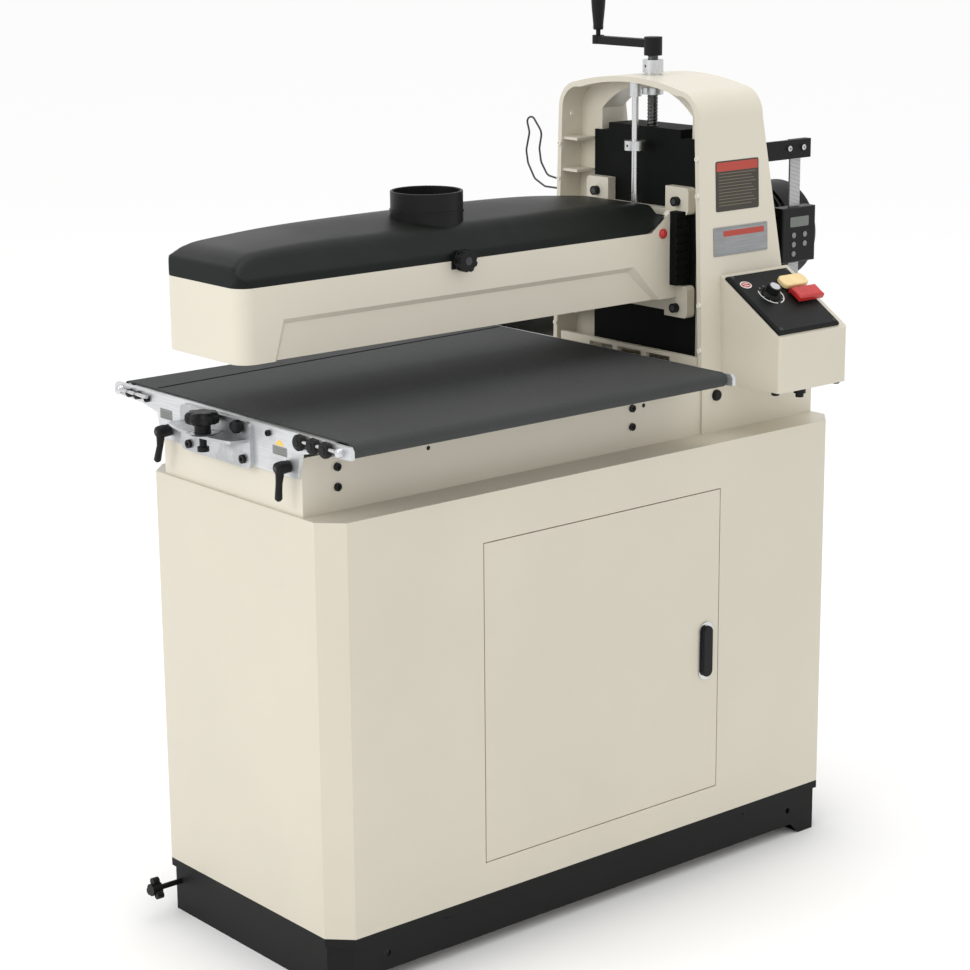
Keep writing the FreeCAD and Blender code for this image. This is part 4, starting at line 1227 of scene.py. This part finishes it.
@dataclass
class DustCover(SubAssembly):
    """The hinged cover over the drum, its port and its latch.

    The crown is the softened least of some lines and a hump, in millimetres. A line is (height,
    slope, start) and the hump is (height, fall, middle). Lengthwise ones are measured from the datum.
    """

    left: float = -535 * MM
    right: float = 217 * MM
    front: float = -82 * MM
    rear: float = 98 * MM
    rim: float = 947.5 * MM
    corner: float = 24 * MM
    wall: float = 3 * MM
    ease: float = 7 * MM
    port: tuple[float, float, float] = (-0.158, 0.005, 0.0508)
    drill_z: Point2 = (0.95, 1.05)
    datum: float = -22.0
    lengthwise: tuple[Line, ...] = ((971, 3.917, -507), (971, 0.5556, -507))
    hump: Line = (1004.4, 1.52e-4, -130)
    crosswise: tuple[Line, ...] = ((956, 4.25, -80), (956, 0.971, -80), (990, 0.1355, -45),
                                   (1004.5, -0.271, 62), (998, -3, 86))
    root_slope: float = 0.942
    root_run: float = 26 * MM
    lap: float = 0.4 * MM
    knuckle_x: Point2 = (-0.422, 0.098)
    lip_at: Point2 = (-0.170, 0.948)

    def crown(self, x: float, y: float) -> float:
        """Height of the cover's outer face.

        Args:
            x: along the arm.
            y: across the arm.

        Returns:
            The height there.
        """
        a, b = x / MM - self.datum, y / MM
        ease = self.ease / MM
        top, fall, middle = self.hump
        rises = [height + slope * (a - start) for height, slope, start in self.lengthwise]
        along = softest(rises + [top - fall * (a - middle) ** 2], ease)
        across = softest([height + slope * (b - start) for height, slope, start in self.crosswise], ease)
        return max(softest([along, across], ease) * MM, self.rim + self.lap)

    def edge(self, x: float) -> float:
        """How far the plan's rounded left corners draw in at x.

        Args:
            x: along the arm.

        Returns:
            The inset of each long edge there.
        """
        reach = self.corner - (x - self.left)
        if reach <= 0:
            return 0.0
        return self.corner - math.sqrt(max(self.corner ** 2 - reach ** 2, 0.0))

    def build(self) -> None:
        """Builds the crowned shell, dresses the rest and adds the latch's cap."""
        self._shell()
        self.dress(Kit.KNOB, "dust_port", "cover_latch")
        low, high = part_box("cover_latch")
        place = Side.FRONT.at((low.x + high.x) / 2, low.y, (low.z + high.z) / 2)
        dish = mm((0, 0.1), (5.2, 0.1), (5.6, 0.2), (5.6, -0.8), (0, -0.8))
        self.piece("cover_latch_cap", Kit.DARK, "cover_knob", "dark_grey", turned(dish, [place], 32))

    def _stations(self) -> list[float]:
        """Where the shell's cross-sections stand, closer together at its left end.

        Returns:
            Their places along the arm, from the left.
        """
        near = [self.left + d * MM for d in (0.2, 0.8, 2, 4, 6, 9, 12, 16, 20, 24, 29, 35, 42, 50, 60)]
        far = [self.left + (60 + (self.right - self.left) / MM * k / 40 * 0.92) * MM for k in range(1, 41)]
        return near + [x for x in far if x < self.right - 0.012] + [self.right - 0.004, self.right]

    def _shell(self) -> None:
        """A crowned open-bottomed shell with soft bevels and a hole under the port."""
        across = [k / 44 for k in range(45)]
        bm = bmesh.new()
        rings = []
        for x in self._stations():
            inset = self.edge(x)
            y0, y1 = self.front + inset, self.rear - inset
            foot = self.rim + max(0.0, (x - self.right + self.root_run)) * self.root_slope
            ring = [bm.verts.new((x, y0, foot))]
            for share in across:
                share = 0.5 - 0.5 * math.cos(math.pi * share)
                y = y0 + (y1 - y0) * share
                ring.append(bm.verts.new((x, y, max(self.crown(x, y), foot + self.lap))))
            ring.append(bm.verts.new((x, y1, foot)))
            rings.append(ring)
        for a, b in zip(rings, rings[1:]):
            for k in range(len(a) - 1):
                bm.faces.new([a[k], a[k + 1], b[k + 1], b[k]])
        bm.faces.new(list(reversed(rings[0])))
        bm.faces.new(rings[-1])
        shell = self._hollow(bm)
        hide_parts("dust_cover")

    def _hollow(self, bm: BMesh) -> Object:
        """Gives the shell its wall, cuts the port's hole and adds the latch lip and hinge knuckles.

        Args:
            bm: the outer skin, which is used up.

        Returns:
            The finished shell.
        """
        raw = Shaper.bare("cover_skin", bm)
        thick = raw.modifiers.new("wall", "SOLIDIFY")
        thick.thickness = self.wall
        thick.offset = -1.0
        drill = bmesh.new()
        px, py, radius = self.port
        low, high = self.drill_z
        Shaper.lathe(drill, [(0, low), (radius, low), (radius, high), (0, high)],
                     Matrix.Translation((px, py, 0)), 96)
        cutter = Shaper.bare("port_hole", drill)
        hole = raw.modifiers.new("hole", "BOOLEAN")
        hole.object = cutter
        hole.solver = "EXACT"
        graph = bpy.context.evaluated_depsgraph_get()
        made = bpy.data.meshes.new_from_object(raw.evaluated_get(graph))
        finished = bmesh.new()
        finished.from_mesh(made)
        for scrap in (raw, cutter):
            bpy.data.objects.remove(scrap)
        self._lip(finished)
        self._knuckles(finished)
        shell = Shaper.add("crowned_dust_cover", finished, Kit.COVER, "cover", "black_paint", smooth_angle=40)
        LOG.info("built crowned_dust_cover on cover")
        return shell

    def _lip(self, bm: BMesh) -> None:
        """The slotted lip that the latch knob draws down.

        Args:
            bm: mesh to add to.
        """
        x, z = self.lip_at
        place = Side.FRONT.at(x, self.front, z)
        slot = [(0.0048 * math.cos(math.radians(a)), 0.0048 * math.sin(math.radians(a)))
                for a in range(0, 181, 15)]
        sides = mm((16, -12), (16, 11), (13, 14), (-13, 14), (-16, 11), (-16, -12), (-4.8, -12))
        outline = sides + slot[::-1] + mm((4.8, -12))
        Shaper.prism(bm, outline, 0.003, place)

    def _knuckles(self, bm: BMesh) -> None:
        """The rolled hinge knuckles along the rear edge.

        Args:
            bm: mesh to add to.
        """
        for x in self.knuckle_x:
            place = Side.RIGHT.at(x - 0.015, 0.104, 0.950)
            Shaper.lathe(bm, mm((3.1, 0), (5.4, 0), (5.4, 30), (3.1, 30), (3.1, 0)), place, 28)
            leaf = Side.RIGHT.at(x - 0.015, 0.095, 0.951)
            Shaper.prism(bm, bar(0, 0.009, 0, 0.0042), 0.030, leaf)


@dataclass
class Lift(SubAssembly):
    """The lift screw with its thread, the crank and its turning grip."""

    pitch: float = 5 * MM
    depth: float = 0.9 * MM

    def build(self) -> None:
        """Dresses the crank's arm and builds the screw's thread and the grip."""
        self.dress(Kit.BLACK, "crank_arm")
        self._thread()
        self._grip()

    def _thread(self) -> None:
        """A screw with a rounded single-start thread stands for the plain rod."""
        low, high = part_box("lift_screw")
        axis = (low + high) / 2
        outer = (high.x - low.x) / 2
        steps, segments = int((high.z - low.z) / 0.00125), 28

        def fill(bm: BMesh) -> None:
            """Sweeps the wavy wall up the screw and closes both ends.

            Args:
                bm: mesh to fill.
            """
            rings = []
            for k in range(steps + 1):
                z = low.z + (high.z - low.z) * k / steps
                ring = []
                for s in range(segments):
                    a = 2 * math.pi * s / segments
                    wave = 0.5 + 0.5 * math.cos(2 * math.pi * (z - low.z) / self.pitch - a)
                    r = outer - self.depth * wave
                    ring.append(bm.verts.new((axis.x + r * math.cos(a), axis.y + r * math.sin(a), z)))
                rings.append(ring)
            for lower, upper in zip(rings, rings[1:]):
                for s in range(segments):
                    n = (s + 1) % segments
                    bm.faces.new([lower[s], lower[n], upper[n], upper[s]])
            bm.faces.new(list(reversed(rings[0])))
            bm.faces.new(rings[-1])

        screw = self.piece("threaded_lift_screw", Kit.STEEL_DARK, "crank", "bright_steel", fill,
                           smooth_angle=60)
        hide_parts("lift_screw")

    def _grip(self) -> None:
        """A turned handle that swells in its middle stands for the plain grip."""
        low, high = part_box("crank_grip")
        x, y, tall = (low.x + high.x) / 2, (low.y + high.y) / 2, high.z - low.z
        wide = (high.x - low.x) / 2
        shape = ((0, 0), (0.62, 0), (0.72, 0.03), (0.70, 0.10), (0.78, 0.22), (0.92, 0.42), (1.0, 0.60),
                 (0.98, 0.76), (0.86, 0.89), (0.60, 0.97), (0.28, 1.0), (0, 1.0))
        profile = [(r * wide, h * tall) for r, h in shape]
        handle = self.piece("turned_grip", Kit.KNOB, "grip", "black_plastic",
                            turned(profile, [Matrix.Translation((x, y, low.z))], 48), smooth_angle=50)
        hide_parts("crank_grip")


@dataclass
class Conveyor(SubAssembly):
    """The belt, its rails and rollers, and what is fixed to the rails."""

    bolt_r: float = 4.2 * MM
    knob_y: tuple[float, ...] = (-0.224, -0.197, -0.168)
    left_nut_y: Point2 = (0.238, 0.218)
    right_nut_y: Point2 = (-0.232, -0.205)
    cap_y: Point2 = (-0.252, 0.262)
    stem_y: Point2 = (-0.248, 0.190)
    stem_out: float = 0.0055
    left_bolts: tuple[Point2, ...] = ((0.196, 0.757), (0.060, 0.759), (-0.095, 0.759))
    right_bolts: tuple[Point2, ...] = ((-0.15, 0.752), (0.15, 0.752))
    label_y: Point2 = (-0.118, 0.150)
    label_z: float = 0.743

    def build(self) -> None:
        """Dresses the conveyor and adds take-ups, bolts, labels and the belt's seam."""
        self.dress(Kit.ZINC, "conveyor_bed", "index_bracket")
        self.dress(Kit.RAIL, "left_rail", "right_rail")
        self.dress(Kit.BELT, "belt")
        self.dress(Kit.BLACK, "gearmotor")
        self.dress(Kit.STEEL, "drive_roller", "idler_roller")
        self._rail_bolts()
        self._rail_labels()
        self._belt_seam()
        self._take_ups()

    def _take_ups(self) -> None:
        """Bearing caps, take-up knobs and adjusting screws at the belt's four corners."""
        left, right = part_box("left_rail")[0].x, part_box("right_rail")[1].x
        z = centre("drive_roller").z
        knob = mm((0, 11), (4.5, 11), (5.4, 9.8), (9.2, 9.2), (10.8, 7.4), (11, 3), (9.6, 0), (0, 0))
        nut = mm((0, 8), (3.4, 8), (4, 6.8), (5.6, 6.2), (6, 0), (0, 0))
        big = [Side.LEFT.at(left, y, z - 0.001) for y in self.knob_y]
        self.piece("take_up_knobs", Kit.KNOB, "stand", "black_plastic", turned(knob, big, 32),
                   smooth_angle=40)
        small = [Side.LEFT.at(left, y, z - 0.001) for y in self.left_nut_y]
        small += [Side.RIGHT.at(right, y, z - 0.001) for y in self.right_nut_y]
        self.piece("take_up_nuts", Kit.KNOB, "stand", "black_plastic", turned(nut, small, 28),
                   smooth_angle=40)
        cap = mm((0, 9), (4, 8.8), (5.8, 7.6), (6.4, 5.6), (6.4, 0), (0, 0))
        ends = [Side.LEFT.at(left, y, z) for y in self.cap_y]
        ends.append(Side.RIGHT.at(right, self.cap_y[0], z))
        caps = self.piece("bearing_caps", Kit.CHROME, "stand", "chrome_plate", turned(cap, ends, 36),
                          smooth_angle=40)
        rod = mm((0, 0), (2.6, 0), (2.6, 70), (0, 70))
        near, far = self.stem_y
        stems = [Side.REAR.at(x, y, z + 0.001) for x, y in
                 ((left - self.stem_out, near), (left - self.stem_out, far), (right + self.stem_out, near))]
        self.piece("take_up_screws", Kit.STEEL, "stand", "bright_steel", turned(rod, stems, 16))
        blocks = [moved(rounded_outline(0.022, 0.016, 0.004), self.cap_y[1], z)]
        place = Side.RIGHT.at(right, 0, 0)
        self.piece("bearing_block", Kit.KNOB, "stand", "black_plastic", raised(blocks, 0.0108, place),
                   round_edges=0.001)
        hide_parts("roller_bearings")

    def _rail_bolts(self) -> None:
        """Socket screws along both rails, facing outwards."""
        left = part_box("left_rail")[0].x
        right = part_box("right_rail")[1].x
        heads = [Side.LEFT.at(left, y, z) for y, z in self.left_bolts]
        heads += [Side.RIGHT.at(right, y, z) for y, z in self.right_bolts]
        self.piece("rail_bolts", Kit.KNOB, "stand", "black_paint",
                   turned(cap_screw(self.bolt_r, 0.0045), heads, 28))

    def _rail_labels(self) -> None:
        """Two plain setting labels on the left rail: one grey, one yellow over grey."""
        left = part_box("left_rail")[0].x
        front, rear = (Side.LEFT_LABEL.at(left, y, self.label_z) for y in self.label_y)
        self.piece("rear_rail_label", Kit.LABEL_GREY, "stand", "dark_grey",
                   raised([rounded_outline(0.030, 0.014, 0.001)], LABEL, rear))
        self.piece("front_rail_label", Kit.LABEL_GREY, "stand", "dark_grey",
                   raised([moved(rounded_outline(0.032, 0.012, 0.001), 0, -0.004)], LABEL, front))
        self.piece("front_rail_label_head", Kit.LABEL_YELLOW, "stand", "white_screw",
                   raised([mm((-10, 3), (10, 3), (3, 10), (-3, 10))], LABEL, front))
        lines = []
        for k in range(3):
            y = -0.001 - 0.0034 * k
            lines.append(bar(-0.012, 0.012 - 0.003 * (k % 2), y, y - 0.0008))
        self.piece("front_rail_label_rules", Kit.LABEL_LINE, "stand", "white_screw",
                   raised(lines, 0.0003, front))
        self.piece("rear_rail_label_rules", Kit.LABEL_LINE, "stand", "white_screw",
                   raised([moved(line, 0, 0.0035) for line in lines], 0.0003, rear))

    def _belt_seam(self) -> None:
        """The slanting glued joint across the belt's top, sunk flush into its face."""
        low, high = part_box("belt")
        place = Matrix.Translation((0, 0, high.z - 0.00015))
        x0, x1 = low.x + 0.004, high.x - 0.004
        strip = [(x0, 0.190), (x1, 0.226), (x1, 0.231), (x0, 0.195)]
        self.piece("belt_seam", Kit.BELT_SEAM, "stand", "belt_cloth", raised([strip], 0.00015, place))


@dataclass
class BedControls(SubAssembly):
    """The clamping levers, the height index dial and the lock knob at the machine's open end.

    Each of a lever's bends is (out, sideways, share of its lean, down, radius).
    """

    bends: tuple[tuple[float, ...], ...] = (
        (0.0070, 0, 0, 0, 0.0062), (0.0066, -0.001, 0, 0.010, 0.0056), (0.0060, 0, 0, 0.020, 0.0046),
        (0.0058, 0, 0.5, 0.031, 0.0048), (0.0060, 0, 1, 0.041, 0.0052), (0.0062, 0, 1, 0.044, 0.0026))
    shelf: float = 0.744
    lock_y: float = -0.038
    lock_z: float = 0.760
    marks: int = 24

    def build(self) -> None:
        """Builds the levers, the knobs and the dial's ring."""
        self._lever("rear_clamp_lever", "rear_lever", 0.008)
        self._lever("front_clamp_lever", "front_lever", 0.002)
        self._knobs()
        self._dial_plate()

    def _lever(self, node: str, body: str, lean: float) -> None:
        """A moulded lever: a domed hub and a tapered arm that swells at its tip.

        Args:
            node: the CAD node it stands for.
            body: the body it moves with.
            lean: how far its tip leans towards the outfeed side.
        """
        low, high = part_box(node)
        y, z, x = (low.y + high.y) / 2 - lean / 2, high.z - 0.009, low.x
        hub = mm((0, 0), (5.2, 0.4), (7.4, 2.2), (8.4, 6), (8.8, 12), (7.8, 21.5), (4, 21.8), (4, 37),
                 (0, 37))
        path = [Vector((x + out, y + side + lean * share, z - down))
                for out, side, share, down, _ in self.bends]

        def fill(bm: BMesh) -> None:
            """Turns the hub and sweeps the arm into it."""
            Shaper.lathe(bm, hub, Side.RIGHT.at(x, y, z), 36)
            Shaper.tube(bm, path, [bend[-1] for bend in self.bends], 18)

        lever = self.piece(f"moulded_{node}", Kit.KNOB, body, "black_plastic", fill, smooth_angle=50)
        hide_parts(node)
        button = mm((0, -0.3), (2.8, -0.2), (3.2, 0.1), (3.2, 1), (0, 1))
        self.piece(f"{node}_button", Kit.DARK, body, "dark_grey",
                   turned(button, [Side.RIGHT.at(x, y, z)], 24))

    def _knobs(self) -> None:
        """The lobed index dial and the three-lobed lock knob with their stems."""
        middle = centre("dial_knob")
        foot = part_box("dial_knob")[0].z
        dial = mm((0, 0), (8, 0), (8, 6), (5, 6), (5, 24.5), (11, 24.5), (11, 37), (18.5, 37.5),
                  (22.5, 39.5), (23.8, 44), (23.2, 50), (20.5, 53), (13, 53.8), (7, 53.4), (0, 53.4))
        knob = self.piece("lobed_index_dial", Kit.KNOB, "dial", "black_plastic", self._lobed(
            dial, Matrix.Translation((middle.x, middle.y, foot)), 7, 0.012), smooth_angle=55)
        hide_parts("dial_knob")
        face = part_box("lock_knob")[0].x
        place = Side.RIGHT.at(face, self.lock_y, self.lock_z)
        lock = mm((0, 0.2), (6, 0.2), (8.6, 1.2), (9.8, 4), (9.6, 9), (8, 11.8), (4, 12), (4, 18),
                  (0, 18))
        small = self.piece("lobed_lock_knob", Kit.KNOB, "lock", "black_plastic",
                           self._lobed(lock, place, 3, 0.006), smooth_angle=55)
        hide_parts("lock_knob")

    def _lobed(self, profile: Sequence[Point2], place: Matrix, lobes: int,
               grip_from: float) -> Filler:
        """A mesh filler for a turned knob whose wide part is drawn in between its lobes.

        Args:
            profile: (radius, height) points.
            place: where the knob stands.
            lobes: how many lobes.
            grip_from: radii beyond this are lobed.

        Returns:
            The filler.
        """
        def fill(bm: BMesh) -> None:
            """Turns the profile and draws in its hollows.

            Args:
                bm: mesh to fill.
            """
            steps = lobes * 16
            Shaper.lathe(bm, profile, Matrix.Identity(4), steps)
            for v in bm.verts:
                radius = math.hypot(v.co.x, v.co.y)
                if radius > grip_from:
                    turn = 0.5 - 0.5 * math.cos(lobes * math.atan2(v.co.y, v.co.x))
                    pull = 1 - 0.16 * turn ** 1.6
                    v.co.x *= pull
                    v.co.y *= pull
            bm.transform(place)
        return fill

    def _dial_plate(self) -> None:
        """The bright ring with radial marks that the index dial turns over, fixed to the shelf."""
        middle = centre("dial_knob")
        ring = mm((12.5, 0), (12.5, 1.2), (22.5, 1.2), (23.5, 0.6), (23.5, 0), (12.5, 0))

        def fill(bm: BMesh) -> None:
            """Turns the open ring and drops its doubled seam."""
            Shaper.lathe(bm, ring, Matrix.Translation((middle.x, middle.y, self.shelf)), 64)
            bmesh.ops.remove_doubles(bm, verts=bm.verts, dist=1e-6)

        self.piece("dial_ring", Kit.TURNED, "stand", "cast_aluminium", fill)
        marks = []
        for k in range(self.marks):
            turn = Matrix.Rotation(2 * math.pi * k / self.marks, 2)
            long = 0.0165 if k % 6 else 0.0145
            marks.append([tuple(turn @ Vector(p)) for p in bar(long, 0.0222, -0.0004, 0.0004)])
        place = Matrix.Translation((middle.x, middle.y, self.shelf + 0.0012))
        self.piece("dial_marks", Kit.LABEL_GREY, "stand", "dark_grey", raised(marks, PRINT, place))


@dataclass
class ControlBox(SubAssembly):
    """The sloping box with its panel, speed knob and stop paddle."""

    edge_y: float = -0.276
    edge_z: float = 0.810
    slope: float = math.atan2(76, 121)
    panel_top: float = 7 * MM
    knob: Point2 = (0.311, 0.084)
    paddle: Point2 = (0.366, 0.076)
    label: Point2 = (0.281, 0.110)
    cap_up: float = 0.022
    screw_v: Point2 = (0.012, 0.129)
    bolt_at: Point2 = (-0.236, 0.790)
    feet: tuple[Point2, ...] = ((0.268, -0.262), (0.396, -0.262), (0.396, -0.205))

    def on_panel(self, x: float, v: float, w: float) -> Matrix:
        """Placement on the sloping panel.

        Args:
            x: across the machine.
            v: up the slope from its front edge.
            w: out of the slope.

        Returns:
            A placement with X to the right, Y up the slope and Z out of it.
        """
        up = Vector((0, math.cos(self.slope), math.sin(self.slope)))
        out = Vector((0, -math.sin(self.slope), math.cos(self.slope)))
        origin = Vector((x, self.edge_y, self.edge_z)) + up * v + out * w
        return axes(origin, (1, 0, 0), out)

    def build(self) -> None:
        """Dresses the box and adds what is on its panel."""
        self.dress(Kit.CREAM, "control_box")
        self.dress(Kit.PANEL, "control_panel")
        self.dress(Kit.KNOB, "cable_gland", "speed_knob")
        self.dress(Kit.RED, "stop_paddle")
        self._panel_marks()
        self._knob_cap()
        self._switch()
        self._box_fixings()

    def _arc(self, x: float, v: float, radius: float, start: float, end: float, width: float) -> list[Point2]:
        """Outline of a part of a ring.

        Args:
            x: centre across.
            v: centre up the slope.
            radius: mean radius.
            start: first angle in degrees.
            end: last angle in degrees.
            width: ring's width.

        Returns:
            The outline.
        """
        turns = [math.radians(start + (end - start) * k / 16) for k in range(17)]
        outer, inner = ([(x + r * math.cos(a), v + r * math.sin(a)) for a in turns]
                        for r in (radius + width / 2, radius - width / 2))
        return outer + inner[::-1]

    def _panel_marks(self) -> None:
        """The printed speed arc and its ticks, and a plain oval label with two bars."""
        place = self.on_panel(0, 0, self.panel_top)
        kx, kv = self.knob
        arcs = [self._arc(kx, kv, 0.0205, 150, 262, 0.0016), self._arc(kx, kv, 0.0205, -82, 30, 0.0016)]
        for k in range(9):
            turn = Matrix.Rotation(math.radians(225 - 33.75 * k), 2)
            tick = bar(0.0175, 0.0192, -0.0005, 0.0005)
            arcs.append([tuple(turn @ Vector(p) + Vector((kx, kv))) for p in tick])
        self.piece("speed_marks", Kit.LABEL_WHITE, "stand", "white_screw", raised(arcs, PRINT, place))
        oval = moved(disc_outline(0.0105, 40, 0.72), *self.label)
        self.piece("start_label", Kit.LABEL_WHITE, "stand", "white_screw", raised([oval], LABEL, place))
        inner = moved(disc_outline(0.0088, 40, 0.66), *self.label)
        lift = self.on_panel(0, 0, self.panel_top + LABEL)
        self.piece("start_label_face", Kit.LABEL_RED, "stand", "red_plastic", raised([inner], PRINT, lift))
        bars = [bar(0.2755, 0.2865, v - 0.0007, v + 0.0007) for v in (0.1122, 0.1078)]
        over = self.on_panel(0, 0, self.panel_top + LABEL + PRINT)
        self.piece("start_label_bars", Kit.LABEL_WHITE, "stand", "white_screw", raised(bars, PRINT, over))

    def _knob_cap(self) -> None:
        """The bright cap on the speed knob."""
        kx, kv = self.knob
        place = self.on_panel(kx, kv, self.cap_up)
        cap = mm((0, 0.9), (6, 0.8), (7.8, 0.4), (8, -0.4), (0, -0.4))
        self.piece("speed_knob_cap", Kit.CHROME, "speed", "chrome_plate", turned(cap, [place], 40))

    def _switch(self) -> None:
        """The pale yellow frame that the stop paddle's hinge stands in."""
        px, pv = self.paddle
        place = self.on_panel(px + 0.001, pv + 0.0225, self.panel_top)
        self.piece("switch_frame", Kit.YELLOW, "stand", "white_screw",
                   raised([rounded_outline(0.052, 0.024, 0.009)], 0.009, place), round_edges=0.003)

    def _box_fixings(self) -> None:
        """The panel's corner screws, the side bolt and the box's two feet."""
        low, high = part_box("control_panel")
        corners = [(x, v) for x in (low.x + 0.007, high.x - 0.007) for v in self.screw_v]
        places = [self.on_panel(x, v, self.panel_top) for x, v in corners]
        dome = mm((0, 0.6), (0.8, 0.6), (1, 1.4), (2.2, 1), (3, 0), (0, 0))
        self.piece("panel_screws", Kit.DARK, "stand", "dark_grey", turned(dome, places, 20))
        box_low, box_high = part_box("control_box")
        side = Side.RIGHT.at(box_high.x, *self.bolt_at)
        self.piece("box_side_bolt", Kit.STEEL, "stand", "bright_steel",
                   turned(cap_screw(0.0042, 0.0055), [side], 24))
        feet = [Side.DOWN.at(x, y, box_low.z) for x, y in self.feet]
        pad = mm((0, 5), (5.2, 4.8), (6, 3.6), (6.4, 0), (0, 0))
        self.piece("box_feet", Kit.KNOB, "stand", "black_plastic", turned(pad, feet, 24))


@dataclass(frozen=True)
class SoftBox:
    """A square soft light: where it stands, its side in metres and its output in watts."""

    name: str
    at: tuple[float, float, float]
    size: float
    power: float


@dataclass
class Studio:
    """The pale floor, the soft lights and the camera."""

    lights: tuple[SoftBox, ...] = (SoftBox("key", (-4.2, 0.6, 2.8), 2.4, 46.0),
                                   SoftBox("top", (0.4, 0.2, 4.2), 1.8, 30.0))
    reach: float = 40.0
    sensor: float = 36.0
    target: Vector = field(default_factory=lambda: Vector((0.0, 0.0, 0.62)))
    camera_at: Vector = field(default_factory=lambda: Vector((-2.2886, -2.6677, 1.4761)))
    azimuth: float = -39.866
    elevation: float = 14.200
    roll: float = -0.463
    lens: float = 91.59

    def build(self) -> None:
        """Sets the floor, lights, world and camera."""
        self._floor()
        self._world()
        for light in self.lights:
            self._area(light)
        self._camera()

    def _floor(self) -> None:
        """A wide pale sheet that carries the machine."""
        finish = StudioPaper("studio floor", (0.97, 0.97, 0.968), 0.9, 0.0)
        mesh = bpy.data.meshes.new("studio_floor")
        side = self.reach
        corners = [(x, y, 0) for x, y in bar(-side, side, -side, side)]
        mesh.from_pydata(corners, [], [(0, 1, 2, 3)])
        floor = bpy.data.objects.new("studio_floor", mesh)
        bpy.context.scene.collection.objects.link(floor)
        floor.data.materials.append(finish.material())

    def _world(self) -> None:
        """An even white surround."""
        world = bpy.data.worlds.new("studio")
        world.use_nodes = True
        ground = world.node_tree.nodes["Background"]
        ground.inputs["Color"].default_value = (1.0, 1.0, 1.0, 1.0)
        ground.inputs["Strength"].default_value = 1.0
        bpy.context.scene.world = world
        bpy.context.scene.view_settings.view_transform = "Standard"

    def _area(self, light: SoftBox) -> None:
        """Adds a soft light aimed at the machine.

        Args:
            light: the light.
        """
        lamp = bpy.data.lights.new(light.name, "AREA")
        lamp.size = light.size
        lamp.energy = light.power
        obj = bpy.data.objects.new(light.name, lamp)
        obj.location = light.at
        aim = self.target - Vector(light.at)
        obj.rotation_euler = aim.to_track_quat("-Z", "Y").to_euler()
        bpy.context.scene.collection.objects.link(obj)

    def _camera(self) -> None:
        """Stands the camera off the machine's front left, a little above it."""
        a, e, r = (math.radians(v) for v in (self.azimuth, self.elevation, self.roll))
        back = Vector((math.sin(a) * math.cos(e), -math.cos(a) * math.cos(e), math.sin(e)))
        right = (-back).cross(Vector((0, 0, 1))).normalized()
        up = right.cross(-back)
        across = right * math.cos(r) + up * math.sin(r)
        above = up * math.cos(r) - right * math.sin(r)
        data = bpy.data.cameras.new("camera")
        data.lens = self.lens
        data.sensor_width = self.sensor
        obj = bpy.data.objects.new("camera", data)
        turned_to = Matrix((across, above, back)).transposed().to_4x4()
        obj.matrix_world = Matrix.Translation(self.camera_at) @ turned_to
        bpy.context.scene.collection.objects.link(obj)
        bpy.context.scene.camera = obj


def main() -> None:
    """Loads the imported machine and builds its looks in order."""
    logging.basicConfig(level=logging.INFO, format="%(name)s: %(message)s")
    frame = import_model()
    nodes = frame["nodes"]
    for group in (Stand, Bed, Column, DrumHead, DustCover, Lift, Conveyor, BedControls, ControlBox):
        LOG.info("building %s", group.__name__)
        group(nodes).build()
    Studio().build()


if __name__ == "__main__":
    main()
